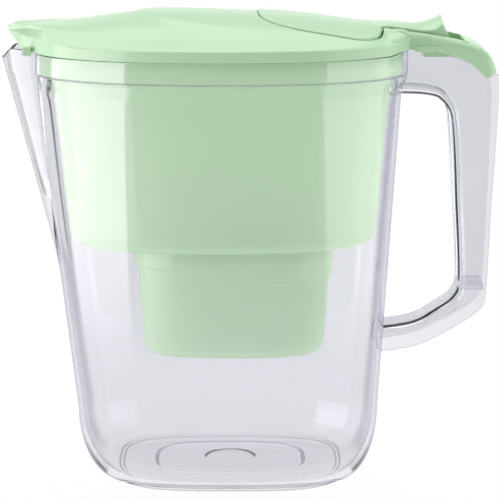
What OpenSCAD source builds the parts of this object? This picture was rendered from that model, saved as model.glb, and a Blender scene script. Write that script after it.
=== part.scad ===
// Water filter pitcher with a flip lid: a clear jug with a moulded handle, a funnel that hangs
// in its collar, a filter cartridge in the funnel's cup, and a lid with a rocking fill flap.
// X runs from the spout to the handle, Y from front to back, and Z is up from the table.

/* [Jug] */
// Height of the rim above the table
rim_height = 234.6; // [215:0.1:260]
// Length of the collar at the rim, without the spout and the handle
rim_length = 200.8; // [190:0.1:215]
// Depth of the collar at the rim
rim_depth = 127; // [118:0.5:140]
// Thickness of the jug's wall
jug_wall = 2.4; // [2:0.1:2.8]
// Height of the collar above the ledge
collar_height = 11.3; // [9:0.1:14]
// Width of the ledge that carries the funnel
ledge_width = 2.2; // [1.8:0.1:2.8]
// Height of the sloped shoulder under the collar
shoulder_height = 9.5; // [6:0.5:14]
// Length of the body just above its bottom corner
waist_length = 165.1; // [158:0.1:172]
// Depth of the body just above its bottom corner
waist_depth = 109; // [102:0.5:114]
// How far the waist stands toward the handle
waist_shift = 3.6; // [2:0.1:5]
// Height of the round bottom corner
corner_height = 36; // [28:1:44]
// Run of the round bottom corner under the ends
corner_run = 17; // [12:0.5:22]
// Thickness of the floor
floor_thickness = 3; // [2.4:0.1:4]

/* [Foot ring] */
// Length of the foot ring
foot_length = 124.4; // [112:0.1:130]
// Depth of the foot ring
foot_depth = 87.4; // [80:0.1:92]
// How far the foot stands toward the handle
foot_shift = 4.7; // [3:0.1:6]
// Height of the foot ring
foot_height = 2.6; // [2:0.1:4]
// Width of the face that stands on the table
foot_face = 2.2; // [1.6:0.1:3]
// Diameter of the round gate dimple under the floor
gate_diameter = 29; // [20:1:36]

/* [Spout] */
// How far the tip stands out from the collar
spout_reach = 16.9; // [13:0.1:21]
// Width of the spout where it leaves the collar
spout_width = 39; // [32:0.5:46]
// Height at which the spout fades into the body
spout_low = 114; // [95:1:135]
// How far the tip lies below the rim
spout_dip = 3.3; // [1:0.1:5]
// How far the side lips rise above the rim
spout_lip = 1.7; // [0.5:0.1:2.5]
// Length of the two notches that place the lid
notch_length = 5.8; // [4:0.1:7]
// Depth of the two notches below the rim
notch_depth = 1.8; // [1.2:0.1:3]

/* [Handle] */
// How far the grip's outer edge stands out from the collar
handle_reach = 47; // [43:0.5:52]
// Clear way for the fingers between the collar and the grip
finger_gap = 24; // [22:0.5:26]
// How far the top of the finger hole lies below the rim
hole_drop = 22.2; // [18:0.1:26]
// Height of the finger hole
hole_height = 128.6; // [120:0.5:136]
// How far the grip leans out toward its foot
grip_lean = 4.5; // [2:0.5:6]
// Height of the lower arm where it meets the body
arm_height = 13.2; // [11:0.1:16]
// Width over the two flanges at the top
handle_top_width = 40; // [36:0.5:44]
// Width over the two flanges along the grip
grip_width = 28; // [24:0.5:32]
// Thickness of the flanges and of the web
flange = 2.4; // [2:0.1:2.8]
// Radius of the web's two corners on the finger side
grip_radius = 6; // [4:0.5:8]

/* [Funnel] */
// Wall of the funnel
funnel_wall = 2; // [1.6:0.1:2.4]
// Gap round the funnel's rim inside the collar
rim_gap = 0.5; // [0.4:0.05:0.8]
// Gap between the tub's top and the ledge at the two ends
tub_end_gap = 5.8; // [4.5:0.1:8]
// Gap between the tub's top and the ledge at the front and the back
tub_side_gap = 4.6; // [3:0.1:6]
// How much narrower the tub is at its floor, on each side
tub_taper = 5.9; // [4:0.1:7]
// Height of the tub's underside above the table
tub_floor = 131; // [127:0.5:136]
// Radius of the tub's lower corner
tub_corner = 8; // [6:0.5:10]
// Length of the neck band under the tub
neck_length = 108; // [104:0.5:111]
// Depth of the neck band under the tub
neck_depth = 68.5; // [66:0.5:72]
// Width of the step from the neck band in to the cup
neck_step = 1.8; // [1.4:0.1:2.4]
// How far the neck stands toward the handle
cup_shift = 6.8; // [5:0.1:8]
// Depth of the cup below the tub's underside
cup_drop = 61.5; // [56:0.5:66]
// How much narrower the cup is at its floor, on each side
cup_taper = 2.6; // [1.5:0.1:4]
// Number of outlet slots in the cup's floor
outlet_slots = 9; // [5:2:11]
// Width of one outlet slot
outlet_width = 2.6; // [2:0.1:3.4]

/* [Lid] */
// Thickness of the lid's shell
lid_wall = 2; // [1.6:0.1:2.4]
// Height of the lid's skirt
skirt_height = 5.6; // [4:0.1:8]
// Gap between the jug's rim and the lid
lid_gap = 0.3; // [0.2:0.05:0.6]
// Height of the dome above the rim
dome_height = 21.6; // [18:0.1:25]
// How far the lid's rib reaches down inside the funnel's rim
rib_drop = 5.4; // [3:0.1:8]
// How far the nose stands out from the collar
nose_reach = 13.4; // [10:0.1:15]
// Height of the nose's upper edge above the rim
nose_height = 14.4; // [12:0.1:15]

/* [Fill flap] */
// Length of the flap from its round end to the hinge axis
flap_length = 75; // [68:0.5:80]
// Width of the flap
flap_width = 76; // [66:0.5:82]
// Thickness of the flap
flap_thickness = 2; // [1.6:0.1:2.4]
// How far the flap stands proud of the dome
flap_proud = 0.7; // [0.3:0.1:1.2]
// Gap round the flap in its recess
flap_gap = 0.6; // [0.4:0.1:1]
// Width of the seat that carries the flap's edge
flap_seat = 3.6; // [2.5:0.1:5]
// Width of the thumb lever
lever_width = 30; // [26:0.5:31]
// Length of the thumb lever from the hinge axis
lever_length = 26.4; // [22:0.2:28]
// Diameter of the two hinge pins
pin_diameter = 3; // [2.6:0.1:3.4]
// Running gap round a hinge pin
pin_gap = 0.08; // [0.05:0.01:0.1]

/* [Cartridge] */
// Gap between the cartridge and the cup
cartridge_gap = 0.5; // [0.3:0.1:0.8]
// Wall of the cartridge's shell
cartridge_wall = 1.6; // [1.2:0.1:2]
// Height of the cap above the tub's underside
cap_height = 26; // [22:0.5:30]
// Height of the grip on the cap
grip_height = 5; // [3:0.5:7]
// Number of inlet slots on each long side of the cap
inlet_slots = 7; // [5:2:9]
// Thickness of the sealing ring
seal_thickness = 2.4; // [1.8:0.1:3]
// Thickness of each screen
screen_thickness = 0.9; // [0.6:0.1:1.2]

/* [Hidden] */

round_facets = 32;
body_points = 38;
spout_points = 11;
funnel_points = 40;
small_points = 32;
sink = 0.6;

clear = [0.84, 0.85, 0.9, 0.5];
mint = [0.66, 0.86, 0.66];
mint_light = [0.74, 0.92, 0.74];
mint_tub = [0.62, 0.82, 0.62];
white = [0.93, 0.94, 0.93];
rubber = [0.75, 0.78, 0.8];
granules = [0.2, 0.21, 0.22];

// The origin lies halfway between the spout's tip and the handle's outer edge
jug_x = (spout_reach - handle_reach) / 2;
rim_a = rim_length / 2;
rim_b = rim_depth / 2;
rim_square = 2.3;
ledge_z = rim_height - collar_height;
shoulder_z = ledge_z - shoulder_height;
waist_z = foot_height + corner_height;
waist_square = 3;
foot_square = 3.3;
spout_round = 1.8;
spout_fade = 0.5;

// ---- Curves and skins ----

function lerp(a, b, f) = a + (b - a) * f;
function limited(f) = max(0, min(1, f));
function eased(f) = let(g = limited(f)) g * g * (3 - 2 * g);
function spline(p, i, f) =
    let(a = p[max(i - 1, 0)], b = p[i], c = p[i + 1], d = p[min(i + 2, len(p) - 1)])
    (2 * b + (c - a) * f + (2 * a - 5 * b + 4 * c - d) * f * f
        + (3 * b - a - 3 * c + d) * f * f * f) / 2;

// Smooth curve through the given points, with the given steps in each span
function curve(p, steps) =
    [for (i = [0 : len(p) - 2], j = [0 : steps - 1]) spline(p, i, j / steps), p[len(p) - 1]];

// Point on an oval whose corners grow squarer with n
function oval_point(t, a, b, n) =
    [a * sign(cos(t)) * pow(abs(cos(t)), 2 / n), b * sign(sin(t)) * pow(abs(sin(t)), 2 / n)];

// Half length of the oval at a distance y from its long axis
function oval_reach(y, a, b, n) = a * pow(max(0, 1 - pow(abs(y) / b, n)), 1 / n);

// Level ring of points round an oval
function oval_ring(z, cx, a, b, n, count) =
    [for (j = [0 : count - 1]) let(p = oval_point(360 * j / count, a, b, n))
        [jug_x + cx + p[0], p[1], z]];

function side_faces(n, m) =
    [for (i = [0 : m - 2], j = [0 : n - 1]) let(k = (j + 1) % n)
        each [[i * n + j, (i + 1) * n + j, (i + 1) * n + k],
              [i * n + j, (i + 1) * n + k, i * n + k]]];

// Solid through a stack of rings with equal counts, closed by a flat fan at both ends
module skin(rings) {
    n = len(rings[0]);
    m = len(rings);
    last = (m - 1) * n;
    polyhedron(
        points = [for (r = rings) each r],
        faces = concat(
            side_faces(n, m),
            [for (j = [1 : n - 2]) [0, j, j + 1]],
            [for (j = [1 : n - 2]) [last, last + j + 1, last + j]]));
}

// Solid through sections that are strips: the first half of a ring faces its second half
module strip_skin(rings) {
    n = len(rings[0]);
    m = len(rings);
    last = (m - 1) * n;
    polyhedron(
        points = [for (r = rings) each r],
        faces = concat(
            side_faces(n, m),
            [for (j = [0 : n / 2 - 2]) each
                [[j, j + 1, n - 1 - j], [j + 1, n - 2 - j, n - 1 - j]]],
            [for (j = [0 : n / 2 - 2]) each
                [[last + j, last + n - 1 - j, last + j + 1],
                 [last + j + 1, last + n - 1 - j, last + n - 2 - j]]]));
}

// ---- Jug ----

// Centre, half length, half depth and squareness of the body's outer face at a height
function body_share(z) = (z - waist_z) / (shoulder_z - waist_z);
function body_centre(z) = lerp(waist_shift, -1, body_share(z));
function body_a(z) = lerp(waist_length / 2, rim_a - ledge_width, body_share(z));
function body_b(z) = lerp(waist_depth / 2, rim_b - ledge_width, body_share(z));
function body_square(z) = lerp(waist_square, rim_square, body_share(z));

// The spout's tip lies on a straight line that leaves the body at spout_low
tip_top = -rim_a - spout_reach;
tip_low = body_centre(spout_low) - body_a(spout_low);
function tip_x(z) = lerp(tip_low, tip_top, (z - spout_low) / (rim_height - spout_dip - spout_low));
function spout_half(z) = spout_width / 2
    * lerp(spout_fade, 1, limited((z - spout_low) / (rim_height - spout_low)));

// How far the lip rises and then dips from the body (0) to the tip (1)
function lip_shape(q) = spout_lip * eased((q - 0.12) / 0.38)
    - (spout_lip + spout_dip) * eased((q - 0.7) / 0.3);

// Ring round the body with the spout on its left; the inset makes the inner face
function jug_ring(z, cx, a, b, n, inset = 0, lip = 0) =
    let(
        ai = a - inset,
        bi = b - inset,
        half = min(spout_half(z) - inset, 0.3 * bi),
        tip = z < waist_z ? 0 : tip_x(min(z, rim_height - spout_dip)) + inset,
        turn = 180 - asin(pow(half / bi, n / 2)),
        root = -oval_reach(half, ai, bi, n))
    concat(
        [for (j = [0 : body_points - 1])
            let(p = oval_point(lerp(-turn, turn, j / (body_points - 1)), ai, bi, n))
            [jug_x + cx + p[0], p[1], z]],
        [for (j = [1 : spout_points])
            let(
                f = lerp(90, -90, j / (spout_points + 1)),
                q = pow(cos(f), 2 / spout_round),
                y = half * sign(f) * pow(abs(sin(f)), 2 / spout_round),
                side = cx + root - (cx + root - tip) * q)
            [jug_x + min(side, cx - oval_reach(y, ai, bi, n)), y, z + lip * lip_shape(q)]]);

// Turns of the round bottom corner, from the foot up to the waist
corner_turns = [0, 18, 36, 54, 72, 90];
function corner_ring(f, inset = 0, rise = 0) =
    jug_ring(
        foot_height + corner_height * (1 - cos(f)) + rise * cos(f),
        lerp(foot_shift, waist_shift, sin(f)),
        waist_length / 2 - corner_run * (1 - sin(f)),
        waist_depth / 2 - corner_run / 2 * (1 - sin(f)),
        lerp(foot_square, waist_square, sin(f)),
        inset);

function wall_ring(z, inset = 0) =
    jug_ring(z, body_centre(z), body_a(z), body_b(z), body_square(z), inset);

wall_heights = concat(
    [for (i = [1 : 2]) lerp(waist_z, spout_low, i / 3)],
    [for (i = [0 : 3]) spout_low + 2 * i * (i + 1)],
    [for (i = [1 : 3]) lerp(spout_low + 24, shoulder_z, i / 3)]);

jug_outer_rings = concat(
    [for (f = corner_turns) corner_ring(f)],
    [for (z = wall_heights) wall_ring(z)],
    [jug_ring(ledge_z - 1, 0, rim_a, rim_b, rim_square),
     jug_ring(rim_height, 0, rim_a, rim_b, rim_square, 0, 1)]);

last_height = len(wall_heights) - 1;
last_turn = len(corner_turns) - 1;
jug_inner_rings = concat(
    [jug_ring(rim_height, 0, rim_a, rim_b, rim_square, jug_wall, 1),
     jug_ring(ledge_z, 0, rim_a, rim_b, rim_square, jug_wall),
     jug_ring(ledge_z - 0.4, 0, rim_a - ledge_width, rim_b - ledge_width, rim_square, jug_wall)],
    [for (i = [0 : last_height]) wall_ring(wall_heights[last_height - i], jug_wall)],
    [for (i = [0 : last_turn]) corner_ring(corner_turns[last_turn - i], jug_wall, floor_thickness)]);

recess_length = 83.2;
recess_depth = 58.4;
recess_rise = 1.2;
underside_z = foot_height - recess_rise;
function under_ring(z, a, b, n) = jug_ring(z, foot_shift, a, b, n);
underside_rings = [
    under_ring(foot_height + 0.8, gate_diameter / 2 - 2.5, gate_diameter / 2 - 2.5, 2),
    under_ring(foot_height, gate_diameter / 2, gate_diameter / 2, 2),
    under_ring(foot_height, recess_length / 2 - recess_rise, recess_depth / 2 - recess_rise, 3),
    under_ring(underside_z, recess_length / 2, recess_depth / 2, 3),
    under_ring(underside_z, foot_length / 2 - sink, foot_depth / 2 - sink, foot_square)];

module foot_outline(inset) {
    polygon([for (j = [0 : 71])
        let(p = oval_point(5 * j, foot_length / 2 - inset, foot_depth / 2 - inset, foot_square))
        [jug_x + foot_shift + p[0], p[1]]]);
}

notch_x = jug_x + tip_top + 12.3;

module jug_body() {
    color(clear) difference() {
        union() {
            skin(concat(underside_rings, jug_outer_rings, jug_inner_rings));
            linear_extrude(underside_z + sink) difference() {
                foot_outline(0);
                foot_outline(foot_face);
            }
        }
        translate([notch_x, -spout_width, rim_height - notch_depth])
            cube([notch_length, 2 * spout_width, notch_depth + 2 * spout_lip + 1]);
    }
}

// Solid that fills the jug out to its outer face, and on up past the rim clear of the lid's skirt
module jug_filled() {
    skin(concat(jug_outer_rings,
        [jug_ring(rim_height, 0, rim_a + lid_gap, rim_b + lid_gap, rim_square, 0, 1),
         jug_ring(rim_height + dome_height, 0, rim_a + lid_gap, rim_b + lid_gap, rim_square)]));
}

// ---- Handle ----

handle_x = jug_x + rim_a;
hole_top = rim_height - hole_drop;
hole_bottom = hole_top - hole_height;
grip_foot = hole_bottom + 29;
// Places along the handle that both of its edges share, as offsets from the collar
arm_root = finger_gap - 44;
arm_bend = finger_gap - 21;
cover_bend = handle_reach - 24;

// Inner edge of the handle, round the finger hole, as offsets from the collar and true heights
hole_upper = [
    [-14, hole_top - 0.1], [arm_bend, hole_top], [finger_gap - 10.4, hole_top - 1.4],
    [finger_gap - 6.4, hole_top - 4], [finger_gap - 3.8, hole_top - 7], [finger_gap - 2.4, hole_top - 9.6]];
hole_lower = [
    [finger_gap - 1.2, hole_top - 13], [finger_gap, hole_top - 25],
    [finger_gap + 0.4 * grip_lean, hole_top - 54], [finger_gap + grip_lean, grip_foot],
    [finger_gap + grip_lean - 2.2, grip_foot - 12], [finger_gap - 8, hole_bottom + 9],
    [arm_bend, hole_bottom + 2.2], [arm_root, hole_bottom - 1]];

// Outer edge: the upper stretch lies under the lid's cover, and a slanted butt face ends it
butt_drop = 13.2;
butt_z = rim_height - butt_drop;
cover_edge = [
    [-14, rim_height + 1.8], [6, rim_height + 1.8], [cover_bend, rim_height - 2],
    [handle_reach - 15.4, rim_height - 5.6], [handle_reach - 10.2, butt_z + 3.2],
    [handle_reach - 7, butt_z]];
outer_lower = [
    [handle_reach - 0.4, butt_z + 2], [handle_reach, rim_height - 32],
    [handle_reach - 1.2, rim_height - 74], [handle_reach - 3.1, hole_bottom + 23.8],
    [handle_reach - 5.5, hole_bottom + 11.3], [finger_gap + 2, hole_bottom - 0.2],
    [finger_gap - 19, hole_bottom - 10.5], [arm_root, hole_bottom - arm_height - 1]];

edge_steps = 2;
handle_inner_edge = concat(curve(hole_upper, edge_steps), curve(hole_lower, edge_steps));
handle_outer_edge = concat(curve(cover_edge, edge_steps), curve(outer_lower, edge_steps));

// Half width over the flanges at a height: they spread over one stretch near the top of the hole
spread_drop = 65;
spread_length = 50;
function handle_half(z) =
    lerp(grip_width, handle_top_width, eased((z - hole_top + spread_drop) / spread_length)) / 2;

// Points of a channel's outer face, from one flange tip round its web to the other tip
function channel_face(depth, half, web, radius) = concat(
    [[depth, -half]],
    [for (f = [0 : 30 : 90])
        [web + radius * (1 - sin(f)), -half + radius * (1 - cos(f))]],
    [for (f = [90 : -30 : 0])
        [web + radius * (1 - sin(f)), half - radius * (1 - cos(f))]],
    [[depth, half]]);

// Ring of a channel between an edge point on its web and one on its flange tips
function channel_ring(web_point, tip_point, half, wall, radius) =
    let(
        span = tip_point - web_point,
        depth = norm(span),
        way = span / depth,
        outer = channel_face(depth, half, 0, radius),
        inner = channel_face(depth, half - wall, wall, max(radius - wall, 0.5)),
        count = len(inner) - 1,
        section = concat(outer, [for (j = [0 : count]) inner[count - j]]))
    [for (p = section) [handle_x + web_point[0] + way[0] * p[0], p[1], web_point[1] + way[1] * p[0]]];

rib_x = handle_x + handle_reach - 22.4;
stop_z = grip_foot - 8;

module jug_handle() {
    color(clear) difference() {
        union() {
            strip_skin([for (i = [0 : len(handle_inner_edge) - 1])
                channel_ring(handle_inner_edge[i], handle_outer_edge[i],
                    handle_half(handle_inner_edge[i][1]), flange, grip_radius)]);
            // Plate that closes the grip's channel at its foot
            translate([handle_x + finger_gap + grip_lean + flange / 2, -grip_width / 2 + flange / 2,
                    stop_z])
                cube([handle_reach - finger_gap - grip_lean - flange - 3.4,
                    grip_width - flange, flange]);
            // Small three-cornered ribs under the cover that stiffen the flanges
            for (side = [-1, 1])
                translate([rib_x, side * (handle_top_width / 2 - flange + 0.2), 0])
                    rotate([90, 0, 0])
                        translate([0, 0, -0.8])
                            linear_extrude(1.6)
                                polygon([[0, rim_height - 4], [3.6, rim_height - 6],
                                    [2, rim_height - 9.5]]);
        }
        jug_filled();
    }
}

// ---- Funnel ----

rim_outer_a = rim_a - jug_wall - rim_gap;
rim_outer_b = rim_b - jug_wall - rim_gap;
tub_shift = 0.8;
tub_a = rim_a - jug_wall - ledge_width - tub_end_gap;
tub_b = rim_b - jug_wall - ledge_width - tub_side_gap;
tub_square = 2.4;
neck_a = neck_length / 2;
neck_b = neck_depth / 2;
cup_a = neck_a - neck_step;
cup_b = neck_b - neck_step;
cup_square = 3;
cup_z = tub_floor - cup_drop;
cup_corner = 6;
seat_z = ledge_z + 0.15;
funnel_top = rim_height - 0.2;

function tub_ring(z, grow, inset) =
    oval_ring(z, tub_shift, tub_a + grow - inset, tub_b + grow - inset, tub_square, funnel_points);
function rim_ring(z, inset) =
    oval_ring(z, 0, rim_outer_a - inset, rim_outer_b - inset, rim_square, funnel_points);
function cup_ring(z, grow, inset, count = funnel_points) =
    oval_ring(z, cup_shift, cup_a + grow - inset, cup_b + grow - inset, cup_square, count);

// The neck band's lower edge runs level round the spout end and ramps down toward the handle
step_high = tub_floor - 11;
step_low = tub_floor - 18.5;
function step_z(x) = lerp(step_high, step_low, eased((x + neck_a / 12) / (neck_a / 1.8)));
function step_ring(drop, grow, inset) =
    [for (p = cup_ring(0, grow, inset)) [p[0], p[1], step_z(p[0] - jug_x - cup_shift) + drop]];

function tub_corner_ring(f, inset, rise) =
    tub_ring(tub_floor + tub_corner * (1 - cos(f)) + rise * cos(f),
        -tub_taper - tub_corner * (1 - sin(f)), inset);
function cup_corner_ring(f, inset, rise) =
    cup_ring(cup_z + cup_corner * (1 - cos(f)) + rise * cos(f),
        -cup_taper - cup_corner * (1 - sin(f)), inset);

// Middle of one slot in a row that spans twice the given reach
function slot_place(i, count, reach) = (i - (count - 1) / 2) * 2 * reach / count;

module funnel() {
    w = funnel_wall;
    color(mint_tub) difference() {
        skin(concat(
            [for (f = [0, 30, 60, 90]) cup_corner_ring(f, 0, 0)],
            [step_ring(-0.6, 0, 0), step_ring(0, neck_step, 0)],
            [cup_ring(tub_floor, neck_step, 0)],
            [for (f = [0, 30, 60, 90]) tub_corner_ring(f, 0, 0)],
            [tub_ring(seat_z - 3, 0, 0), tub_ring(seat_z, 1.6, 0)],
            [rim_ring(seat_z, 0.5), rim_ring(seat_z + 0.5, 0), rim_ring(funnel_top, 0)],
            [rim_ring(funnel_top, w), rim_ring(seat_z + w + 0.5, w)],
            [tub_ring(seat_z + w, 1, w), tub_ring(seat_z - 3, 0, w)],
            [for (f = [90, 60, 30, 0]) tub_corner_ring(f, w, w)],
            [cup_ring(tub_floor + w, neck_step, w)],
            [step_ring(w, neck_step, w), step_ring(w - 0.6, 0, w)],
            [for (f = [90, 60, 30, 0]) cup_corner_ring(f, w, w)]));
        // Slots through the cup's floor let the filtered water out
        for (i = [0 : outlet_slots - 1])
            translate([jug_x + cup_shift + slot_place(i, outlet_slots, cup_a - 10) - outlet_width / 2,
                    14 - cup_b, cup_z - 1])
                cube([outlet_width, 2 * (cup_b - 14), funnel_wall + 2]);
    }
}

// ---- Lid ----

lid_z = rim_height + lid_gap;
edge_z = lid_z + skirt_height;
nose_tip = -rim_a - nose_reach;
nose_half = spout_width / 2 - jug_wall - 0.5;
nose_root = -oval_reach(nose_half, rim_a, rim_b, rim_square);
nose_undercut = 7.5;
nose_plate = 2.4;
nose_edge = rim_height + nose_height;

// Height of the lid's centre line from the nose to the handle, as shares of the collar's half
// length and of the dome's height
ridge = curve([
    [nose_tip / rim_a, 0.704], [-0.91, 0.731], [-0.75, 0.787], [-0.59, 0.898], [-0.43, 0.972],
    [-0.27, 1], [0.05, 0.954], [0.37, 0.88], [0.69, 0.694], [0.9, 0.556], [1, 0.491]], 3);
function ridge_z(x) = rim_height + dome_height * lookup(x / rim_a, ridge);

// Half depth of the lid's outline at a place along it, nose included
function lid_half(x) = x < nose_root
    ? nose_half * pow(max(0, 1 - pow(limited((nose_root - x) / (nose_root - nose_tip)), spout_round)),
        1 / spout_round)
    : rim_b * pow(max(0, 1 - pow(abs(x) / rim_a, rim_square)), 1 / rim_square);

// A soft step rings the raised eye of the dome and fades toward the handle
eye_centre = 22;
eye_a = 68;
eye_b = 43;
function eye_step(x, y) =
    let(r = norm([(x - eye_centre) / eye_a, y / eye_b]))
    (1 - eased((x + 10) / 60)) * (eased((1.06 - r) / 0.14) - 1);

// Height of the dome's outer face over a point of the plan, where s tells how near its edge is
function oval_share(x, y) =
    pow(pow(abs(x) / rim_a, rim_square) + pow(abs(y) / rim_b, rim_square), 1 / rim_square);
function dome_z(x, y, s, edge = edge_z) =
    edge + (ridge_z(x) + eye_step(x, y) - edge)
        * (1 - pow(limited(abs(y) / max(lid_half(x), 0.1)), 2.1)) * (1 - pow(limited(s), 16));

// Outline of the lid: the collar's oval and the nose, as [x, y, share of the nose]
function lid_outline(inset, tip) =
    let(
        a = rim_a - inset,
        b = rim_b - inset,
        half = nose_half - inset,
        turn = 180 - asin(pow(half / b, rim_square / 2)),
        root = -oval_reach(half, a, b, rim_square))
    concat(
        [for (j = [0 : body_points - 1])
            let(p = oval_point(lerp(-turn, turn, j / (body_points - 1)), a, b, rim_square))
            [p[0], p[1], 0]],
        [for (j = [1 : spout_points])
            let(
                f = lerp(90, -90, j / (spout_points + 1)),
                q = pow(cos(f), 2 / spout_round),
                y = half * sign(f) * pow(abs(sin(f)), 2 / spout_round))
            [min(root - (root - tip - inset) * q, -oval_reach(y, a, b, rim_square)), y, q]]);

// Ring on the skirt, where the nose narrows and rises above the edge
nose_taper = 0.3;
function nose_narrow(q) = 1 - nose_taper * eased(q / 0.7);
function skirt_ring(z, inset, tip, rise) =
    [for (p = lid_outline(inset, tip))
        [jug_x + p[0], p[1] * lerp(1, nose_narrow(p[2]), rise / nose_height),
            z + rise * eased(p[2] / 0.5)]];

// Ring on the dome at a share of the outline; the drop gives the shell its thickness
nose_rise = nose_edge - edge_z;
function dome_ring(s, drop) =
    [for (p = lid_outline(0, nose_tip))
        let(
            x = s * p[0],
            y = s * p[1] * lerp(1, nose_narrow(p[2]), eased((s - 0.7) / 0.3)),
            edge = edge_z + nose_rise * eased(p[2] / 0.5) * eased((s - 0.7) / 0.25))
        [jug_x + x, y, dome_z(x, y, s, edge) - drop - (drop > 0 ? seat_depth(x, y) : 0)]];

// Hinge axis of the flap, as an offset from the collar's centre and a true height
hinge_x = rim_a - 5.4;
hinge_z = rim_height + 9.9;
flap_start = hinge_x - flap_length;
flap_middle = hinge_x - 33;
neck_x = hinge_x - 4;

// Half width of the flap at a place along it: a round end, a full middle and a narrow neck
function flap_half(x) = x < flap_middle
    ? flap_width / 2 * pow(max(0, 1 - pow(limited((flap_middle - x) / (flap_middle - flap_start)), 2.8)),
        1 / 2.8)
    : lerp(lever_width / 2, flap_width / 2,
        sqrt(max(0, 1 - pow(limited((x - flap_middle) / (neck_x - flap_middle)), 3))));
function flap_lift(x) = flap_proud + 1.4 * eased((x - hinge_x + 26) / 22);

// Extra depth of the shell under the flap's recess
function seat_depth(x, y) = flap_thickness
    * (1 - eased((abs(y) - flap_half(x) - 2) / 4)) * eased((x - flap_start + 6) / 5);

// Closed slab that follows the dome over the flap's outline
flap_steps = 16;
flap_across = 8;
module flap_slab(grow, low, high, lifted) {
    strip_skin([for (i = [0 : flap_steps])
        let(
            f = i / flap_steps,
            x = lerp(flap_start - grow, neck_x + 1, f * f * (1.6 - 0.6 * f)),
            w = max(flap_half(x + grow * (1 - f)) + grow, 3))
        concat(
            [for (j = [0 : flap_across]) let(y = lerp(-w, w, j / flap_across))
                [jug_x + x, y, dome_z(x, y, oval_share(x, y)) + low + (lifted ? flap_lift(x) : 0)]],
            [for (j = [0 : flap_across]) let(y = lerp(w, -w, j / flap_across))
                [jug_x + x, y, dome_z(x, y, oval_share(x, y)) + high + (lifted ? flap_lift(x) : 0)]])]);
}

// Upper edge of the cover over the handle, paired with the handle's own upper edge
cover_top = [
    [-14, rim_height + 12.2], [6, rim_height + 10.6], [cover_bend, rim_height + 7.7],
    [handle_reach - 11.5, rim_height + 4], [handle_reach - 4, rim_height - 2.4],
    [handle_reach - 0.6, butt_z + 2.5]];
cover_wall = 2.8;
cover_half = handle_top_width / 2;
cover_radius = 5;
well_half = lever_width / 2 + 1.3;
well_outer = cover_half - flange - 0.3;
well_start = jug_x + hinge_x - 5.4;
well_step = handle_x + 8.4;
well_end = handle_x + 27;
well_top = rim_height + 2.2;
well_low = rim_height - 2.1;
well_floor = 1.5;
ear_outer = cover_half - 0.2;
lip_start = handle_x + 0.6;
lip_length = 13;
lip_low = rim_height + 0.6;
lip_high = rim_height + 3.4;

// Outline of a hinge ear seen from the front, as offsets from the hinge axis
ear_outline = [[-17, -4], [-9, -2], [-4.6, 0.2], [-3, 1.3], [-2, 2.8], [-1, 3.6], [0, 3.8],
    [2.2, 3.3], [4.6, 1.7], [8, -0.7], [14, -3], [18, -6], [-17, -8]];

function from_under(edge) = [for (p = edge) [p[0], p[1] + lid_gap]];
cover_high_edge = curve(cover_top, edge_steps);
cover_low_edge = from_under(curve(cover_edge, edge_steps));
cover_last = len(cover_low_edge) - 1;

module lid_shell() {
    inner = [0.14, 0.3, 0.45, 0.6, 0.74, 0.85, 0.93];
    outer = [0.98, 0.93, 0.86, 0.79, 0.72, 0.64, 0.55, 0.44, 0.3, 0.14];
    skin(concat(
        [for (s = inner) dome_ring(s, lid_wall)],
        [skirt_ring(edge_z - lid_wall, lid_wall, nose_tip + 1.5, nose_rise),
         skirt_ring(lid_z, lid_wall, nose_tip + nose_undercut + 1, 0),
         skirt_ring(lid_z, 0, nose_tip + nose_undercut, 0),
         skirt_ring(edge_z - 0.8, 0, nose_tip + 0.2, nose_rise - nose_plate)],
        [for (s = outer) dome_ring(s, 0)]));
}

module lid_rib() {
    rib_inset = jug_wall + rim_gap + funnel_wall + 0.5;
    translate([jug_x, 0, lid_z - rib_drop])
        linear_extrude(rib_drop + skirt_height) difference() {
            polygon([for (j = [0 : 47])
                oval_point(7.5 * j, rim_a - rib_inset, rim_b - rib_inset, rim_square)]);
            polygon([for (j = [0 : 47])
                oval_point(7.5 * j, rim_a - rib_inset - 1.6, rim_b - rib_inset - 1.6, rim_square)]);
        }
}

module block(x1, x2, half, z1, z2) {
    translate([x1, -half, z1]) cube([x2 - x1, 2 * half, z2 - z1]);
}

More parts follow.
